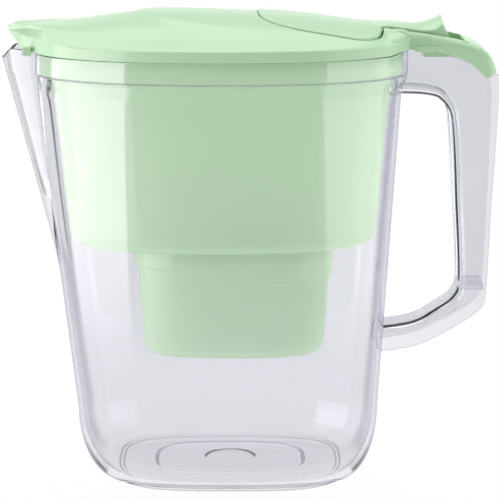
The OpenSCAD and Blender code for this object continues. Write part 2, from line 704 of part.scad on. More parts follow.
module lid() {
    color(mint) difference() {
        union() {
            lid_shell();
            lid_rib();
            // Cover over the handle: a channel upside down, on the handle's two flanges
            strip_skin([for (i = [0 : cover_last])
                channel_ring(cover_high_edge[cover_last - i], cover_low_edge[cover_last - i],
                    cover_half, cover_wall, cover_radius)]);
            // Box of the well that the thumb lever dips into
            block(well_start - 1.6, well_end + well_floor, well_outer, well_top, rim_height + 6);
            block(well_step - well_floor, well_end + well_floor, well_outer, well_low, rim_height + 4);
            for (side = [-1, 1]) {
                // Ears that hold the flap's hinge pins and fall away along the dome and the cover
                translate([jug_x + hinge_x, side * (well_half + ear_outer) / 2, hinge_z])
                    rotate([90, 0, 0])
                        linear_extrude(ear_outer - well_half, center = true)
                            polygon(ear_outline);
                // Short lips that hang outside the handle's flanges
                translate([lip_start, side * (cover_half + 0.45) - 0.3, lip_low])
                    cube([lip_length, 0.6, lip_high - lip_low]);
                translate([lip_start, side * (cover_half - 0.2) - 0.6, rim_height + 2.2])
                    cube([lip_length, 1.2, lip_high - rim_height - 2.2]);
                // Tabs that drop into the notches of the spout's lips
                translate([notch_x + 0.6, side * (nose_half + 0.2) - 1.6, rim_height - notch_depth + 0.4])
                    cube([notch_length - 1.2, 3.2, notch_depth + 3]);
            }
        }
        flap_slab(flap_gap, -(flap_thickness - flap_proud) - 0.3, 8, false);
        // Fill opening, inside the seat that carries the flap
        translate([jug_x, 0, rim_height + 1])
            linear_extrude(dome_height + 4)
                polygon(concat(
                    [for (i = [0 : 14]) let(x = lerp(flap_start + flap_seat, neck_x - 8, i / 14))
                        [x, flap_seat - flap_half(x)]],
                    [for (i = [14 : -1 : 0]) let(x = lerp(flap_start + flap_seat, neck_x - 8, i / 14))
                        [x, flap_half(x) - flap_seat]]));
        block(well_start, well_step, well_half, well_top + well_floor, rim_height + 30);
        block(well_step - 0.1, well_end, well_half, well_low + well_floor, rim_height + 30);
        translate([jug_x + hinge_x, 0, hinge_z]) rotate([90, 0, 0])
            cylinder(h = 2 * (well_half + 2.4), d = pin_diameter + 2 * pin_gap, center = true,
                $fn = round_facets);
    }
}

// ---- Fill flap ----

// Thumb lever: [x above, x below, centre height, fall to the sides, underside], from the hinge
lever_line = [
    [-3, -3, 14.3, 0.6, 8.2], [3, 3, 14, 1.2, 9.4], [9, 9, 14, 2, 10.6], [14.4, 15.4, 14.9, 3.2, 10.1],
    [19, 21, 16.6, 4.2, 8.7], [lever_length - 4, lever_length, 18.6, 3.6, 7.2]];

module lever() {
    w = lever_width / 2;
    strip_skin([for (p = curve(lever_line, 2))
        concat(
            [for (j = [0 : 8])
                [jug_x + hinge_x + p[1], lerp(-w, w, j / 8), rim_height + p[4]]],
            [for (j = [0 : 8]) let(y = lerp(w, -w, j / 8))
                [jug_x + hinge_x + p[0], y, rim_height + p[2] - p[3] * pow(abs(y) / w, 2)]])]);
}

module fill_flap() {
    hub = 2 * (well_half - 0.4);
    color(mint_light) union() {
        flap_slab(0, -flap_thickness, 0, true);
        lever();
        translate([jug_x + hinge_x, 0, hinge_z]) rotate([90, 0, 0]) {
            cylinder(h = hub, r = 3.2, center = true, $fn = round_facets);
            cylinder(h = 2 * (well_half + 2.1), d = pin_diameter, center = true, $fn = round_facets);
        }
        // Web between the flap's neck and the hub
        translate([jug_x + neck_x - 0.9, -lever_width / 2, hinge_z - 0.6])
            cube([4.9, lever_width, 2.8]);
    }
}

// ---- Cartridge ----

shell_gap = funnel_wall + cartridge_gap;
shell_z = cup_z + funnel_wall + cartridge_gap;
collar_z = step_high + funnel_wall + 0.3;
collar_height_in = 3;
cap_z = collar_z + collar_height_in;
cap_top = tub_floor + cap_height;

function cup_narrow(z) = cup_taper * (1 - (z - cup_z) / (step_high - cup_z));
function cartridge_ring(z, inset) = cup_ring(z, -cup_narrow(z), shell_gap + inset, small_points);
function collar_ring(z, inset) = cup_ring(z, neck_step, funnel_wall + 0.3 + inset, small_points);

module cartridge_shell() {
    w = cartridge_wall;
    color(white) difference() {
        skin([
            cartridge_ring(shell_z, 4), cartridge_ring(shell_z + 1.4, 1.4),
            cartridge_ring(shell_z + 4.5, 0), cartridge_ring(collar_z, 0),
            collar_ring(collar_z, 0), collar_ring(cap_z, 0), collar_ring(cap_z, 2.4 + w),
            cartridge_ring(collar_z - 0.2, w), cartridge_ring(shell_z + 5, w),
            cartridge_ring(shell_z + w + 0.8, 3.4)]);
        for (i = [0 : outlet_slots - 1])
            translate([jug_x + cup_shift + slot_place(i, outlet_slots, cup_a - 12) - 1,
                    16 - cup_b, shell_z - 1])
                cube([2, 2 * (cup_b - 16), w + 2]);
    }
}

module cartridge_seal() {
    color(rubber) difference() {
        skin([collar_ring(cap_z + 0.05, 0.3), collar_ring(cap_z + seal_thickness, 0.3)]);
        skin([collar_ring(cap_z - 1, 4.4), collar_ring(cap_z + seal_thickness + 1, 4.4)]);
    }
}

cap_inset = 4.8;
cap_low = cap_z + seal_thickness + 0.1;
module cartridge_cap() {
    color(white) difference() {
        union() {
            skin([
                collar_ring(cap_low, cap_inset), collar_ring(cap_low, 0.9),
                collar_ring(cap_low + 1.9, 0.9), collar_ring(cap_low + 3.9, 2.6), collar_ring(cap_top - 6, 7.6),
                collar_ring(cap_top - 2.6, 9.4), collar_ring(cap_top - 0.8, 14),
                collar_ring(cap_top, 22)]);
            // Grip that pulls the cartridge out
            translate([jug_x + cup_shift, 0, cap_top - 3]) grip();
        }
        skin([
            collar_ring(cap_z, cap_inset), collar_ring(cap_low + 3.9, cap_inset),
            collar_ring(cap_top - 7, 9.6), collar_ring(cap_top - 4, 12),
            collar_ring(cap_top - 2.6, 18)]);
        // Inlet slots down both long sides
        for (i = [0 : inlet_slots - 1])
            translate([jug_x + cup_shift + slot_place(i, inlet_slots, 0.65 * cup_a) - 1.2,
                    -neck_b, cap_low + 5.9])
                cube([2.4, 2 * neck_b, cap_top - cap_low - 13.9]);
    }
}

module grip() {
    linear_extrude(grip_height + 3) hull() {
        translate([-12, 0]) circle(2.6, $fn = round_facets);
        translate([12, 0]) circle(2.6, $fn = round_facets);
    }
}

screen_low = shell_z + cartridge_wall + 3.6;
screen_high = collar_z - 1.4;
function bed_ring(z) = cartridge_ring(z, cartridge_wall + 0.3);

module outlet_screen() {
    color(white) skin([bed_ring(screen_low), bed_ring(screen_low + screen_thickness)]);
}
module inlet_screen() {
    color(white) skin([bed_ring(screen_high), bed_ring(screen_high + screen_thickness)]);
}
module filter_media() {
    color(granules) skin([bed_ring(screen_low + screen_thickness + 0.05), bed_ring(screen_high - 0.05)]);
}

jug_body();
jug_handle();
funnel();
lid();
fill_flap();
cartridge_shell();
cartridge_cap();
cartridge_seal();
inlet_screen();
outlet_screen();
filter_media();
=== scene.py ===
import bisect
import math

import bmesh
import bpy
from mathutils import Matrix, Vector


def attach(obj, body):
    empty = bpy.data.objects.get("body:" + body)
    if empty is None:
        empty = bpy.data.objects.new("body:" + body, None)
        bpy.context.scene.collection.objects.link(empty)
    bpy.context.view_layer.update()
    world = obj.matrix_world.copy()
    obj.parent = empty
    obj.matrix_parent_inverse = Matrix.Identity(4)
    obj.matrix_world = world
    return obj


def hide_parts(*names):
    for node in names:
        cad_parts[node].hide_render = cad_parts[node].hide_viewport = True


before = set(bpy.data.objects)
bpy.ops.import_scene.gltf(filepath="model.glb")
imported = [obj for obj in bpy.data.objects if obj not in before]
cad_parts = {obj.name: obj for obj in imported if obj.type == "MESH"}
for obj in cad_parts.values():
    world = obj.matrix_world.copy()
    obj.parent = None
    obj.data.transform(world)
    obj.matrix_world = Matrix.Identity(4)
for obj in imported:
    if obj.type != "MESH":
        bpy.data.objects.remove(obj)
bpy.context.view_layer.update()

# ---------------------------------------------------------------------------------------------
# Room: a pale floor and soft studio light. Two tall softboxes stand in front of the jug, one on
# each side, and the backdrop is white. The floor thins out to the backdrop away from the jug.
# ---------------------------------------------------------------------------------------------


def rgb(code):
    """Linear colour from an sRGB hex value such as C8F2CC."""
    parts = [int(code[i:i + 2], 16) / 255 for i in (0, 2, 4)]
    return [p / 12.92 if p <= 0.04045 else ((p + 0.055) / 1.055) ** 2.4 for p in parts] + [1.0]


def add_node(tree, kind, inputs=None, **settings):
    """A node of the given kind, with values or links for its inputs and its own settings."""
    made = tree.nodes.new(kind)
    for key, value in settings.items():
        setattr(made, key, value)
    for key, value in (inputs or {}).items():
        if isinstance(value, bpy.types.NodeSocket):
            tree.links.new(value, made.inputs[key])
        else:
            made.inputs[key].default_value = value
    return made


def stops(ramp, *pairs):
    """Sets a colour ramp's stops from (place, grey or hex colour) pairs."""
    line = ramp.color_ramp
    while len(line.elements) < len(pairs):
        line.elements.new(0.5)
    for element, (place, tone) in zip(line.elements, pairs):
        element.position = place
        element.color = rgb(tone) if isinstance(tone, str) else (tone, tone, tone, 1)
    return ramp


scene = bpy.context.scene
scene.view_settings.view_transform = "Standard"
scene.cycles.max_bounces = 24
scene.cycles.transmission_bounces = 24
scene.cycles.transparent_max_bounces = 24
scene.cycles.caustics_refractive = False

# A long lens about a metre in front of the jug, a little above it and tilted down
CAMERA_PLACE, CAMERA_TILT = (0.00075, -1.075, 0.3644), 12.6
camera_data = bpy.data.cameras.new("camera")
camera_data.sensor_width = 36
camera_data.lens = 144.65
camera_data.clip_start = 0.05
camera = bpy.data.objects.new("camera", camera_data)
camera.location = CAMERA_PLACE
camera.rotation_euler = (math.radians(90 - CAMERA_TILT), 0, 0)
scene.collection.objects.link(camera)
scene.camera = camera

# World: white to the eye, and brightest behind the jug. Gloss sees white round the horizon and a
# darker grey overhead; clear plastic sees a paler grey there, which draws thin lines at its edges.
world = bpy.data.worlds.new("studio")
scene.world = world
world.use_nodes = True
sky = world.node_tree
sky.nodes.clear()
ray = add_node(sky, "ShaderNodeLightPath")
direction = add_node(sky, "ShaderNodeTexCoord")
split = add_node(sky, "ShaderNodeSeparateXYZ", {"Vector": direction.outputs["Generated"]})
height = add_node(sky, "ShaderNodeMapRange", {
    "Value": split.outputs["Z"], "From Min": -1.0, "From Max": 1.0})
seen_tone = stops(add_node(sky, "ShaderNodeValToRGB", {"Fac": height.outputs["Result"]}),
    (0.0, 0.7), (0.30, 0.95), (0.42, 1.0), (0.57, 1.0), (0.66, 0.72), (0.8, 0.52))
# The backdrop behind the jug is bright, and the room beside and before it is darker
backdrop = add_node(sky, "ShaderNodeMapRange", {"Value": split.outputs["Y"], "From Min": 0.1,
    "From Max": 0.75, "To Min": 0.5, "To Max": 0.95}, interpolation_type="SMOOTHSTEP")
lit_level = add_node(sky, "ShaderNodeMapRange", {"Value": split.outputs["Y"], "From Min": -0.3,
    "From Max": 0.5, "To Min": 0.32, "To Max": 1.03}, interpolation_type="SMOOTHSTEP")
lit = add_node(sky, "ShaderNodeBackground",
    {"Color": rgb("F6F7FA"), "Strength": lit_level.outputs["Result"]})
reflected = add_node(sky, "ShaderNodeBackground",
    {"Color": seen_tone.outputs["Color"], "Strength": backdrop.outputs["Result"]})
through_tone = stops(add_node(sky, "ShaderNodeValToRGB", {"Fac": height.outputs["Result"]}),
    (0.0, 0.93), (0.42, 1.0), (0.60, 1.0), (0.74, 0.84), (1.0, 0.78))
through = add_node(sky, "ShaderNodeBackground",
    {"Color": through_tone.outputs["Color"], "Strength": 0.93})
white = add_node(sky, "ShaderNodeBackground", {"Color": (1, 1, 1, 1), "Strength": 1.0})
final = lit
for flag, view in (("Is Glossy Ray", reflected), ("Is Transmission Ray", through),
        ("Is Camera Ray", white)):
    final = add_node(sky, "ShaderNodeMixShader",
        {0: ray.outputs[flag], 1: final.outputs[0], 2: view.outputs[0]})
add_node(sky, "ShaderNodeOutputWorld", {"Surface": final.outputs[0]})


def softbox(name, place, aim, size, watts, tint="FFFFFF"):
    """A soft lamp that lights the object but isn't seen itself."""
    lamp = bpy.data.lights.new(name, "AREA")
    lamp.shape = "RECTANGLE"
    lamp.size, lamp.size_y = size
    lamp.energy = watts
    lamp.color = rgb(tint)[:3]
    holder = bpy.data.objects.new(name, lamp)
    holder.location = place
    look = Vector(aim) - Vector(place)
    holder.rotation_euler = look.to_track_quat("-Z", "Y").to_euler()
    holder.visible_camera = False
    scene.collection.objects.link(holder)


softbox("softbox_left", (-1.10, -0.455, 0.0), (0, 0, 0.0), (1.5, 1.3), 15.5, "FFF2FD")
softbox("softbox_right", (1.15, -0.33, 0.0), (0, 0, 0.0), (1.6, 1.5), 8.5)
softbox("softbox_top", (0.0, 0.3, 1.5), (0, 0, 0.1), (2.4, 2.0), 18)

FLOOR_RADIUS, FADE_START, PLAIN_SHARE = 0.62, 0.2, 0.88
floor_mesh = bpy.data.meshes.new("floor")
floor_form = bmesh.new()
bmesh.ops.create_circle(floor_form, cap_ends=True, segments=96, radius=FLOOR_RADIUS)
floor_form.to_mesh(floor_mesh)
floor_form.free()
floor = bpy.data.objects.new("floor", floor_mesh)
scene.collection.objects.link(floor)
paper = bpy.data.materials.new("matt_white_paper")
paper.use_nodes = True
tree = paper.node_tree
tree.nodes.clear()
where = add_node(tree, "ShaderNodeTexCoord")
reach = add_node(tree, "ShaderNodeVectorMath", {0: where.outputs["Object"]}, operation="LENGTH")
fade = add_node(tree, "ShaderNodeMapRange", {"Value": reach.outputs["Value"],
    "From Min": FADE_START, "From Max": FLOOR_RADIUS - 0.02}, interpolation_type="SMOOTHSTEP")
matt = add_node(tree, "ShaderNodeBsdfDiffuse", {"Color": rgb("F7F7F9")})
# To the eye, and in gloss and clear plastic, most of the paper is plain white, so that its shadow
# stays faint
ray = add_node(tree, "ShaderNodeLightPath")
shown = add_node(tree, "ShaderNodeMath", {0: ray.outputs["Is Camera Ray"],
    1: ray.outputs["Is Glossy Ray"]}, operation="MAXIMUM")
shown = add_node(tree, "ShaderNodeMath", {0: shown.outputs[0],
    1: ray.outputs["Is Transmission Ray"]}, operation="MAXIMUM")
share = add_node(tree, "ShaderNodeMath", {0: shown.outputs[0], 1: PLAIN_SHARE}, operation="MULTIPLY")
plain = add_node(tree, "ShaderNodeEmission", {"Color": (1, 1, 1, 1), "Strength": 1.0})
paper_face = add_node(tree, "ShaderNodeMixShader", {0: share.outputs[0], 1: matt.outputs[0],
    2: plain.outputs[0]})
open_air = add_node(tree, "ShaderNodeBsdfTransparent")
thinned = add_node(tree, "ShaderNodeMixShader", {0: fade.outputs["Result"], 1: paper_face.outputs[0],
    2: open_air.outputs[0]})
add_node(tree, "ShaderNodeOutputMaterial", {"Surface": thinned.outputs[0]})
floor.data.materials.append(paper)

# ---------------------------------------------------------------------------------------------
# Jug: one clear moulding of SAN plastic with its handle. The body is a tapered oval with a pouring
# spout, a collar with a ledge inside, a round bottom corner and a low foot ring.
# ---------------------------------------------------------------------------------------------


def lerp(a, b, f):
    return a + (b - a) * f


def limited(f):
    return max(0.0, min(1.0, f))


def eased(f):
    g = limited(f)
    return g * g * (3 - 2 * g)


def oval_point(turn, a, b, n):
    """Point on an oval whose corners grow squarer with n; turn is in degrees."""
    c, s = math.cos(math.radians(turn)), math.sin(math.radians(turn))
    return (a * math.copysign(abs(c) ** (2 / n), c), b * math.copysign(abs(s) ** (2 / n), s))


def oval_reach(y, a, b, n):
    return a * max(0.0, 1 - (abs(y) / b) ** n) ** (1 / n)


NEAR_ZERO = 1e-6


def softened(rings, radii, steps=4):
    """Rings with each corner of the section rounded: radii gives a length for each ring, or 0."""
    out = []
    for i, (ring, r) in enumerate(zip(rings, radii)):
        if not r or i in (0, len(rings) - 1):
            out.append(ring)
            continue
        before, after = rings[i - 1], rings[i + 1]
        for k in range(steps + 1):
            f = k / steps
            made = []
            for p, q, s in zip(before, ring, after):
                q = Vector(q)
                back, on = Vector(p) - q, Vector(s) - q
                start = q + back * min(0.45, r / max(back.length, NEAR_ZERO))
                end = q + on * min(0.45, r / max(on.length, NEAR_ZERO))
                made.append(tuple(start * (1 - f) ** 2 + q * 2 * f * (1 - f) + end * f * f))
            out.append(made)
    return out


def solid(name, rings, strip=False):
    """Closed mesh through a stack of rings, in millimetres. Each end is closed by a flat cap, or
    for a strip by a band between the first half of its ring and the second half."""
    n = len(rings[0])
    points = [tuple(v * 0.001 for v in p) for ring in rings for p in ring]
    faces = [(i * n + j, i * n + (j + 1) % n, (i + 1) * n + (j + 1) % n, (i + 1) * n + j)
        for i in range(len(rings) - 1) for j in range(n)]
    last = (len(rings) - 1) * n
    if strip:
        for base, flip in ((0, True), (last, False)):
            for j in range(n // 2 - 1):
                face = [base + j, base + j + 1, base + n - 2 - j, base + n - 1 - j]
                faces.append(face[::-1] if flip else face)
    else:
        faces.append(tuple(range(n))[::-1])
        faces.append(tuple(last + j for j in range(n)))
    mesh = bpy.data.meshes.new(name)
    mesh.from_pydata(points, [], faces)
    made = bpy.data.objects.new(name, mesh)
    scene.collection.objects.link(made)
    form = bmesh.new()
    form.from_mesh(mesh)
    bmesh.ops.remove_doubles(form, verts=form.verts, dist=1e-7)
    bmesh.ops.dissolve_degenerate(form, edges=form.edges, dist=1e-7)
    bmesh.ops.recalc_face_normals(form, faces=form.faces)
    form.to_mesh(mesh)
    form.free()
    return made


def slab(name, outline, low, high):
    """Upright prism over an outline of (x, y) points in millimetres."""
    return solid(name, [[(x, y, low) for x, y in outline], [(x, y, high) for x, y in outline]])


def block(name, low, high):
    (x1, y1, z1), (x2, y2, z2) = low, high
    return slab(name, [(x1, y1), (x2, y1), (x2, y2), (x1, y2)], z1, z2)


def cut(target, tool, how="DIFFERENCE"):
    """Joins, cuts or meets target with tool for good, and removes the tool."""
    change = target.modifiers.new("cut", "BOOLEAN")
    change.operation = how
    change.solver = "MANIFOLD"
    change.object = tool
    apply_modifiers(target)
    bpy.data.objects.remove(tool)
    return target


def apply_modifiers(piece):
    bpy.context.view_layer.update()
    graph = bpy.context.evaluated_depsgraph_get()
    fresh = bpy.data.meshes.new_from_object(piece.evaluated_get(graph))
    old = piece.data
    piece.modifiers.clear()
    piece.data = fresh
    fresh.name = piece.name
    bpy.data.meshes.remove(old)
    return piece


def smoothed(piece, angle=32):
    """Smooth shading that keeps crisp lines where faces meet at more than the angle."""
    mesh = piece.data
    mesh.shade_smooth()
    mesh.set_sharp_from_angle(angle=math.radians(angle))
    weight = piece.modifiers.new("weight", "WEIGHTED_NORMAL")
    weight.keep_sharp = True
    weight.weight = 80
    return apply_modifiers(piece)


RIM_HEIGHT = 234.6
SPOUT_REACH, HANDLE_REACH = 16.9, 47.0
JUG_X = (SPOUT_REACH - HANDLE_REACH) / 2
RIM_A, RIM_B, RIM_SQUARE = 100.4, 63.5, 2.3
JUG_WALL = 2.4
LEDGE_Z = RIM_HEIGHT - 11.3
LEDGE_WIDTH = 2.2
SHOULDER_Z = LEDGE_Z - 9.5
FOOT_HEIGHT, CORNER_HEIGHT, CORNER_RUN = 2.6, 36.0, 17.0
WAIST_Z = FOOT_HEIGHT + CORNER_HEIGHT
WAIST_A, WAIST_B, WAIST_SHIFT, WAIST_SQUARE = 82.55, 54.5, 3.6, 3.0
FOOT_A, FOOT_B, FOOT_SHIFT, FOOT_SQUARE = 62.2, 43.7, 4.7, 3.3
FLOOR_THICKNESS = 3.0
SPOUT_WIDTH, SPOUT_LOW, SPOUT_DIP, SPOUT_LIP = 39.0, 114.0, 3.3, 1.7
SPOUT_ROUND, SPOUT_FADE = 1.8, 0.5
BODY_POINTS, SPOUT_POINTS = 150, 41


def body_share(z):
    return (z - WAIST_Z) / (SHOULDER_Z - WAIST_Z)


def body_centre(z):
    return lerp(WAIST_SHIFT, -1, body_share(z))


def body_a(z):
    return lerp(WAIST_A, RIM_A - LEDGE_WIDTH, body_share(z))


TIP_TOP = -RIM_A - SPOUT_REACH
TIP_LOW = body_centre(SPOUT_LOW) - body_a(SPOUT_LOW)


def tip_x(z):
    return lerp(TIP_LOW, TIP_TOP, (z - SPOUT_LOW) / (RIM_HEIGHT - SPOUT_DIP - SPOUT_LOW))


def spout_half(z):
    return SPOUT_WIDTH / 2 * lerp(SPOUT_FADE, 1, limited((z - SPOUT_LOW) / (RIM_HEIGHT - SPOUT_LOW)))


def lip_shape(q):
    """Height of the spout's rim: it rises to two lips and dips at the tip, where q is 1."""
    return SPOUT_LIP * eased((q - 0.12) / 0.38) - (SPOUT_LIP + SPOUT_DIP) * eased((q - 0.7) / 0.3)


RIM_RISE, RISE_START, RISE_LENGTH = 1.8, 88, 11


def rim_rise(x):
    """How far the rim sweeps up to the top of the handle."""
    return RIM_RISE * eased((x - RISE_START) / RISE_LENGTH)


def jug_ring(z, cx, a, b, n, inset=0.0, lip=0.0, spout_a=None):
    """Ring round the jug with its spout on the left; the inset makes the inner face. Where
    spout_a is given, the spout runs out of an oval of that half length."""
    ai, bi = a - inset, b - inset
    half = min(spout_half(z) - inset, 0.3 * bi)
    tip = 0 if z < WAIST_Z else tip_x(min(z, RIM_HEIGHT - SPOUT_DIP)) + inset
    turn = 180 - math.degrees(math.asin((half / bi) ** (n / 2)))
    root = -oval_reach(half, ai, bi, n)
    ring = []
    for j in range(BODY_POINTS):
        x, y = oval_point(lerp(-turn, turn, j / (BODY_POINTS - 1)), ai, bi, n)
        ring.append((JUG_X + cx + x, y, z + lip * rim_rise(x)))
    for j in range(1, SPOUT_POINTS + 1):
        f = math.radians(lerp(90, -90, j / (SPOUT_POINTS + 1)))
        q = math.cos(f) ** (2 / SPOUT_ROUND)
        y = half * math.copysign(abs(math.sin(f)) ** (2 / SPOUT_ROUND), f)
        side = cx + root - (cx + root - tip) * q
        x = min(side, cx - oval_reach(y, ai, bi, n))
        if spout_a:
            far_root = -oval_reach(half, spout_a - inset, bi, n)
            far_side = cx + far_root - (cx + far_root - tip) * q
            x = lerp(x, min(far_side, x), eased(q / 0.35))
        ring.append((JUG_X + x, y, z + lip * lip_shape(q)))
    return ring


def wall_ring(z, inset=0.0):
    return jug_ring(z, body_centre(z), body_a(z), lerp(WAIST_B, RIM_B - LEDGE_WIDTH, body_share(z)),
        lerp(WAIST_SQUARE, RIM_SQUARE, body_share(z)), inset)


def corner_ring(turn, inset=0.0, rise=0.0):
    c, s = math.cos(math.radians(turn)), math.sin(math.radians(turn))
    return jug_ring(FOOT_HEIGHT + CORNER_HEIGHT * (1 - c) + rise * c,
        lerp(FOOT_SHIFT, WAIST_SHIFT, s), WAIST_A - CORNER_RUN * (1 - s),
        WAIST_B - CORNER_RUN / 2 * (1 - s), lerp(FOOT_SQUARE, WAIST_SQUARE, s), inset)


def foot_ring(z, a, b, n):
    return jug_ring(z, FOOT_SHIFT, a, b, n)


CORNER_STEPS, WALL_STEPS = 14, 34
corner_turns = [90 * i / CORNER_STEPS for i in range(CORNER_STEPS + 1)]
wall_heights = [lerp(WAIST_Z, SHOULDER_Z, i / WALL_STEPS) for i in range(1, WALL_STEPS + 1)]
RECESS_A, RECESS_B, RECESS_RISE = 41.6, 29.2, 1.2
GATE_RADIUS = 14.5
UNDER_Z = FOOT_HEIGHT - RECESS_RISE
FOOT_FACE = 2.2

jug_rings = [
    (foot_ring(FOOT_HEIGHT + 0.8, GATE_RADIUS - 2.5, GATE_RADIUS - 2.5, 2), 0),
    (foot_ring(FOOT_HEIGHT, GATE_RADIUS, GATE_RADIUS, 2), 0.8),
    (foot_ring(FOOT_HEIGHT, RECESS_A - RECESS_RISE, RECESS_B - RECESS_RISE, 3), 0.8),
    (foot_ring(UNDER_Z, RECESS_A, RECESS_B, 3), 0.8),
    (foot_ring(UNDER_Z, FOOT_A - FOOT_FACE - 0.4, FOOT_B - FOOT_FACE - 0.4, FOOT_SQUARE), 0.5),
    (foot_ring(0, FOOT_A - FOOT_FACE, FOOT_B - FOOT_FACE, FOOT_SQUARE), 0.5),
    (foot_ring(0, FOOT_A, FOOT_B, FOOT_SQUARE), 0.8),
    (foot_ring(UNDER_Z + 0.7, FOOT_A, FOOT_B, FOOT_SQUARE), 0.5),
]
jug_rings += [(corner_ring(t), 0) for t in corner_turns]
jug_rings += [(wall_ring(z), 0) for z in wall_heights[:-1]]
jug_rings += [
    (wall_ring(SHOULDER_Z), 4.0),
    (jug_ring(LEDGE_Z - 1, 0, RIM_A, RIM_B, RIM_SQUARE), 3.0),
    (jug_ring(RIM_HEIGHT, 0, RIM_A, RIM_B, RIM_SQUARE, 0, 1), 0.7),
    (jug_ring(RIM_HEIGHT, 0, RIM_A, RIM_B, RIM_SQUARE, JUG_WALL, 1), 0.7),
    (jug_ring(LEDGE_Z, 0, RIM_A, RIM_B, RIM_SQUARE, JUG_WALL), 0.6),
    (jug_ring(LEDGE_Z - 0.4, 0, RIM_A - LEDGE_WIDTH, RIM_B - LEDGE_WIDTH, RIM_SQUARE, JUG_WALL,
        0, RIM_A), 0.6),
]
jug_rings += [(jug_ring(lerp(LEDGE_Z, SHOULDER_Z, f), -f, RIM_A - LEDGE_WIDTH, RIM_B - LEDGE_WIDTH,
    RIM_SQUARE, JUG_WALL, 0, RIM_A - LEDGE_WIDTH * f), 0) for f in (0.3, 0.65)]
jug_rings += [(wall_ring(z, JUG_WALL), 0) for z in wall_heights[::-1]]
jug_rings += [(corner_ring(t, JUG_WALL, FLOOR_THICKNESS), 0) for t in corner_turns[::-1]]
floor_edge = jug_rings[-1][0]
for share in (0.93, 0.8, 0.6, 0.4, 0.2):
    jug_rings.append(([(lerp(JUG_X + FOOT_SHIFT, x, share), y * share, z)
        for x, y, z in floor_edge], 0))


def from_pairs(name, pairs, steps=4, strip=False):
    rings, radii = [p[0] for p in pairs], [p[1] for p in pairs]
    return solid(name, softened(rings, radii, steps), strip)


jug = from_pairs("jug", jug_rings)

# Two notches in the spout's lips place the lid's tabs
NOTCH_X, NOTCH_LENGTH, NOTCH_DEPTH, NOTCH_Y = JUG_X + TIP_TOP + 12.3, 5.8, 1.8, 17.5
for side in (-1, 1):
    notch = block("notch", (NOTCH_X, side * NOTCH_Y - 6, RIM_HEIGHT - NOTCH_DEPTH),
        (NOTCH_X + NOTCH_LENGTH, side * NOTCH_Y + 6, RIM_HEIGHT + 6))
    cut(jug, notch)

# The handle is a channel that is open at the back: a web on the finger side with two flanges
HANDLE_X = JUG_X + RIM_A
FINGER_GAP, GRIP_LEAN = 24.0, 4.5
HOLE_TOP = RIM_HEIGHT - 22.2
HOLE_BOTTOM = HOLE_TOP - 128.6
GRIP_FOOT = HOLE_BOTTOM + 29
ARM_HEIGHT, FLANGE, GRIP_RADIUS = 13.2, 2.4, 6.0
HANDLE_TOP_WIDTH, GRIP_WIDTH = 40.0, 28.0
BUTT_Z = RIM_HEIGHT - 13.2
EDGE_STEPS = 8


def curve(points, steps):
    """Smooth line through the given points, with the given steps in each span."""
    out = []
    for i in range(len(points) - 1):
        a, b, c = points[max(i - 1, 0)], points[i], points[i + 1]
        d = points[min(i + 2, len(points) - 1)]
        for j in range(steps):
            f = j / steps
            out.append(tuple((2 * q + (r - p) * f + (2 * p - 5 * q + 4 * r - s) * f * f
                + (3 * q - p - 3 * r + s) * f ** 3) / 2 for p, q, r, s in zip(a, b, c, d)))
    out.append(tuple(points[-1]))
    return out


HOLE_UPPER = [(-14, HOLE_TOP - 0.1), (FINGER_GAP - 21, HOLE_TOP), (FINGER_GAP - 10.4, HOLE_TOP - 1.4),
    (FINGER_GAP - 6.4, HOLE_TOP - 4), (FINGER_GAP - 3.8, HOLE_TOP - 7), (FINGER_GAP - 2.4, HOLE_TOP - 9.6)]
HOLE_LOWER = [(FINGER_GAP - 1.2, HOLE_TOP - 13), (FINGER_GAP, HOLE_TOP - 25),
    (FINGER_GAP + 0.4 * GRIP_LEAN, HOLE_TOP - 54), (FINGER_GAP + GRIP_LEAN, GRIP_FOOT),
    (FINGER_GAP + GRIP_LEAN - 2.2, GRIP_FOOT - 12), (FINGER_GAP - 8, HOLE_BOTTOM + 9),
    (FINGER_GAP - 21, HOLE_BOTTOM + 2.2), (FINGER_GAP - 44, HOLE_BOTTOM - 1)]
COVER_EDGE = [(-14, RIM_HEIGHT + 1.8), (6, RIM_HEIGHT + 1.8), (HANDLE_REACH - 24, RIM_HEIGHT - 2),
    (HANDLE_REACH - 15.4, RIM_HEIGHT - 5.6), (HANDLE_REACH - 10.2, BUTT_Z + 3.2),
    (HANDLE_REACH - 7, BUTT_Z)]
OUTER_LOWER = [(HANDLE_REACH - 0.4, BUTT_Z + 2), (HANDLE_REACH, RIM_HEIGHT - 32),
    (HANDLE_REACH - 1.2, RIM_HEIGHT - 74), (HANDLE_REACH - 3.1, HOLE_BOTTOM + 23.8),
    (HANDLE_REACH - 5.5, HOLE_BOTTOM + 11.3), (FINGER_GAP + 2, HOLE_BOTTOM - 0.2),
    (FINGER_GAP - 19, HOLE_BOTTOM - 10.5), (FINGER_GAP - 44, HOLE_BOTTOM - ARM_HEIGHT - 1)]


def handle_half(z):
    """Half the handle's width: slim at the grip and wider at the top."""
    return lerp(GRIP_WIDTH, HANDLE_TOP_WIDTH, eased((z - HOLE_TOP + 65) / 50)) / 2


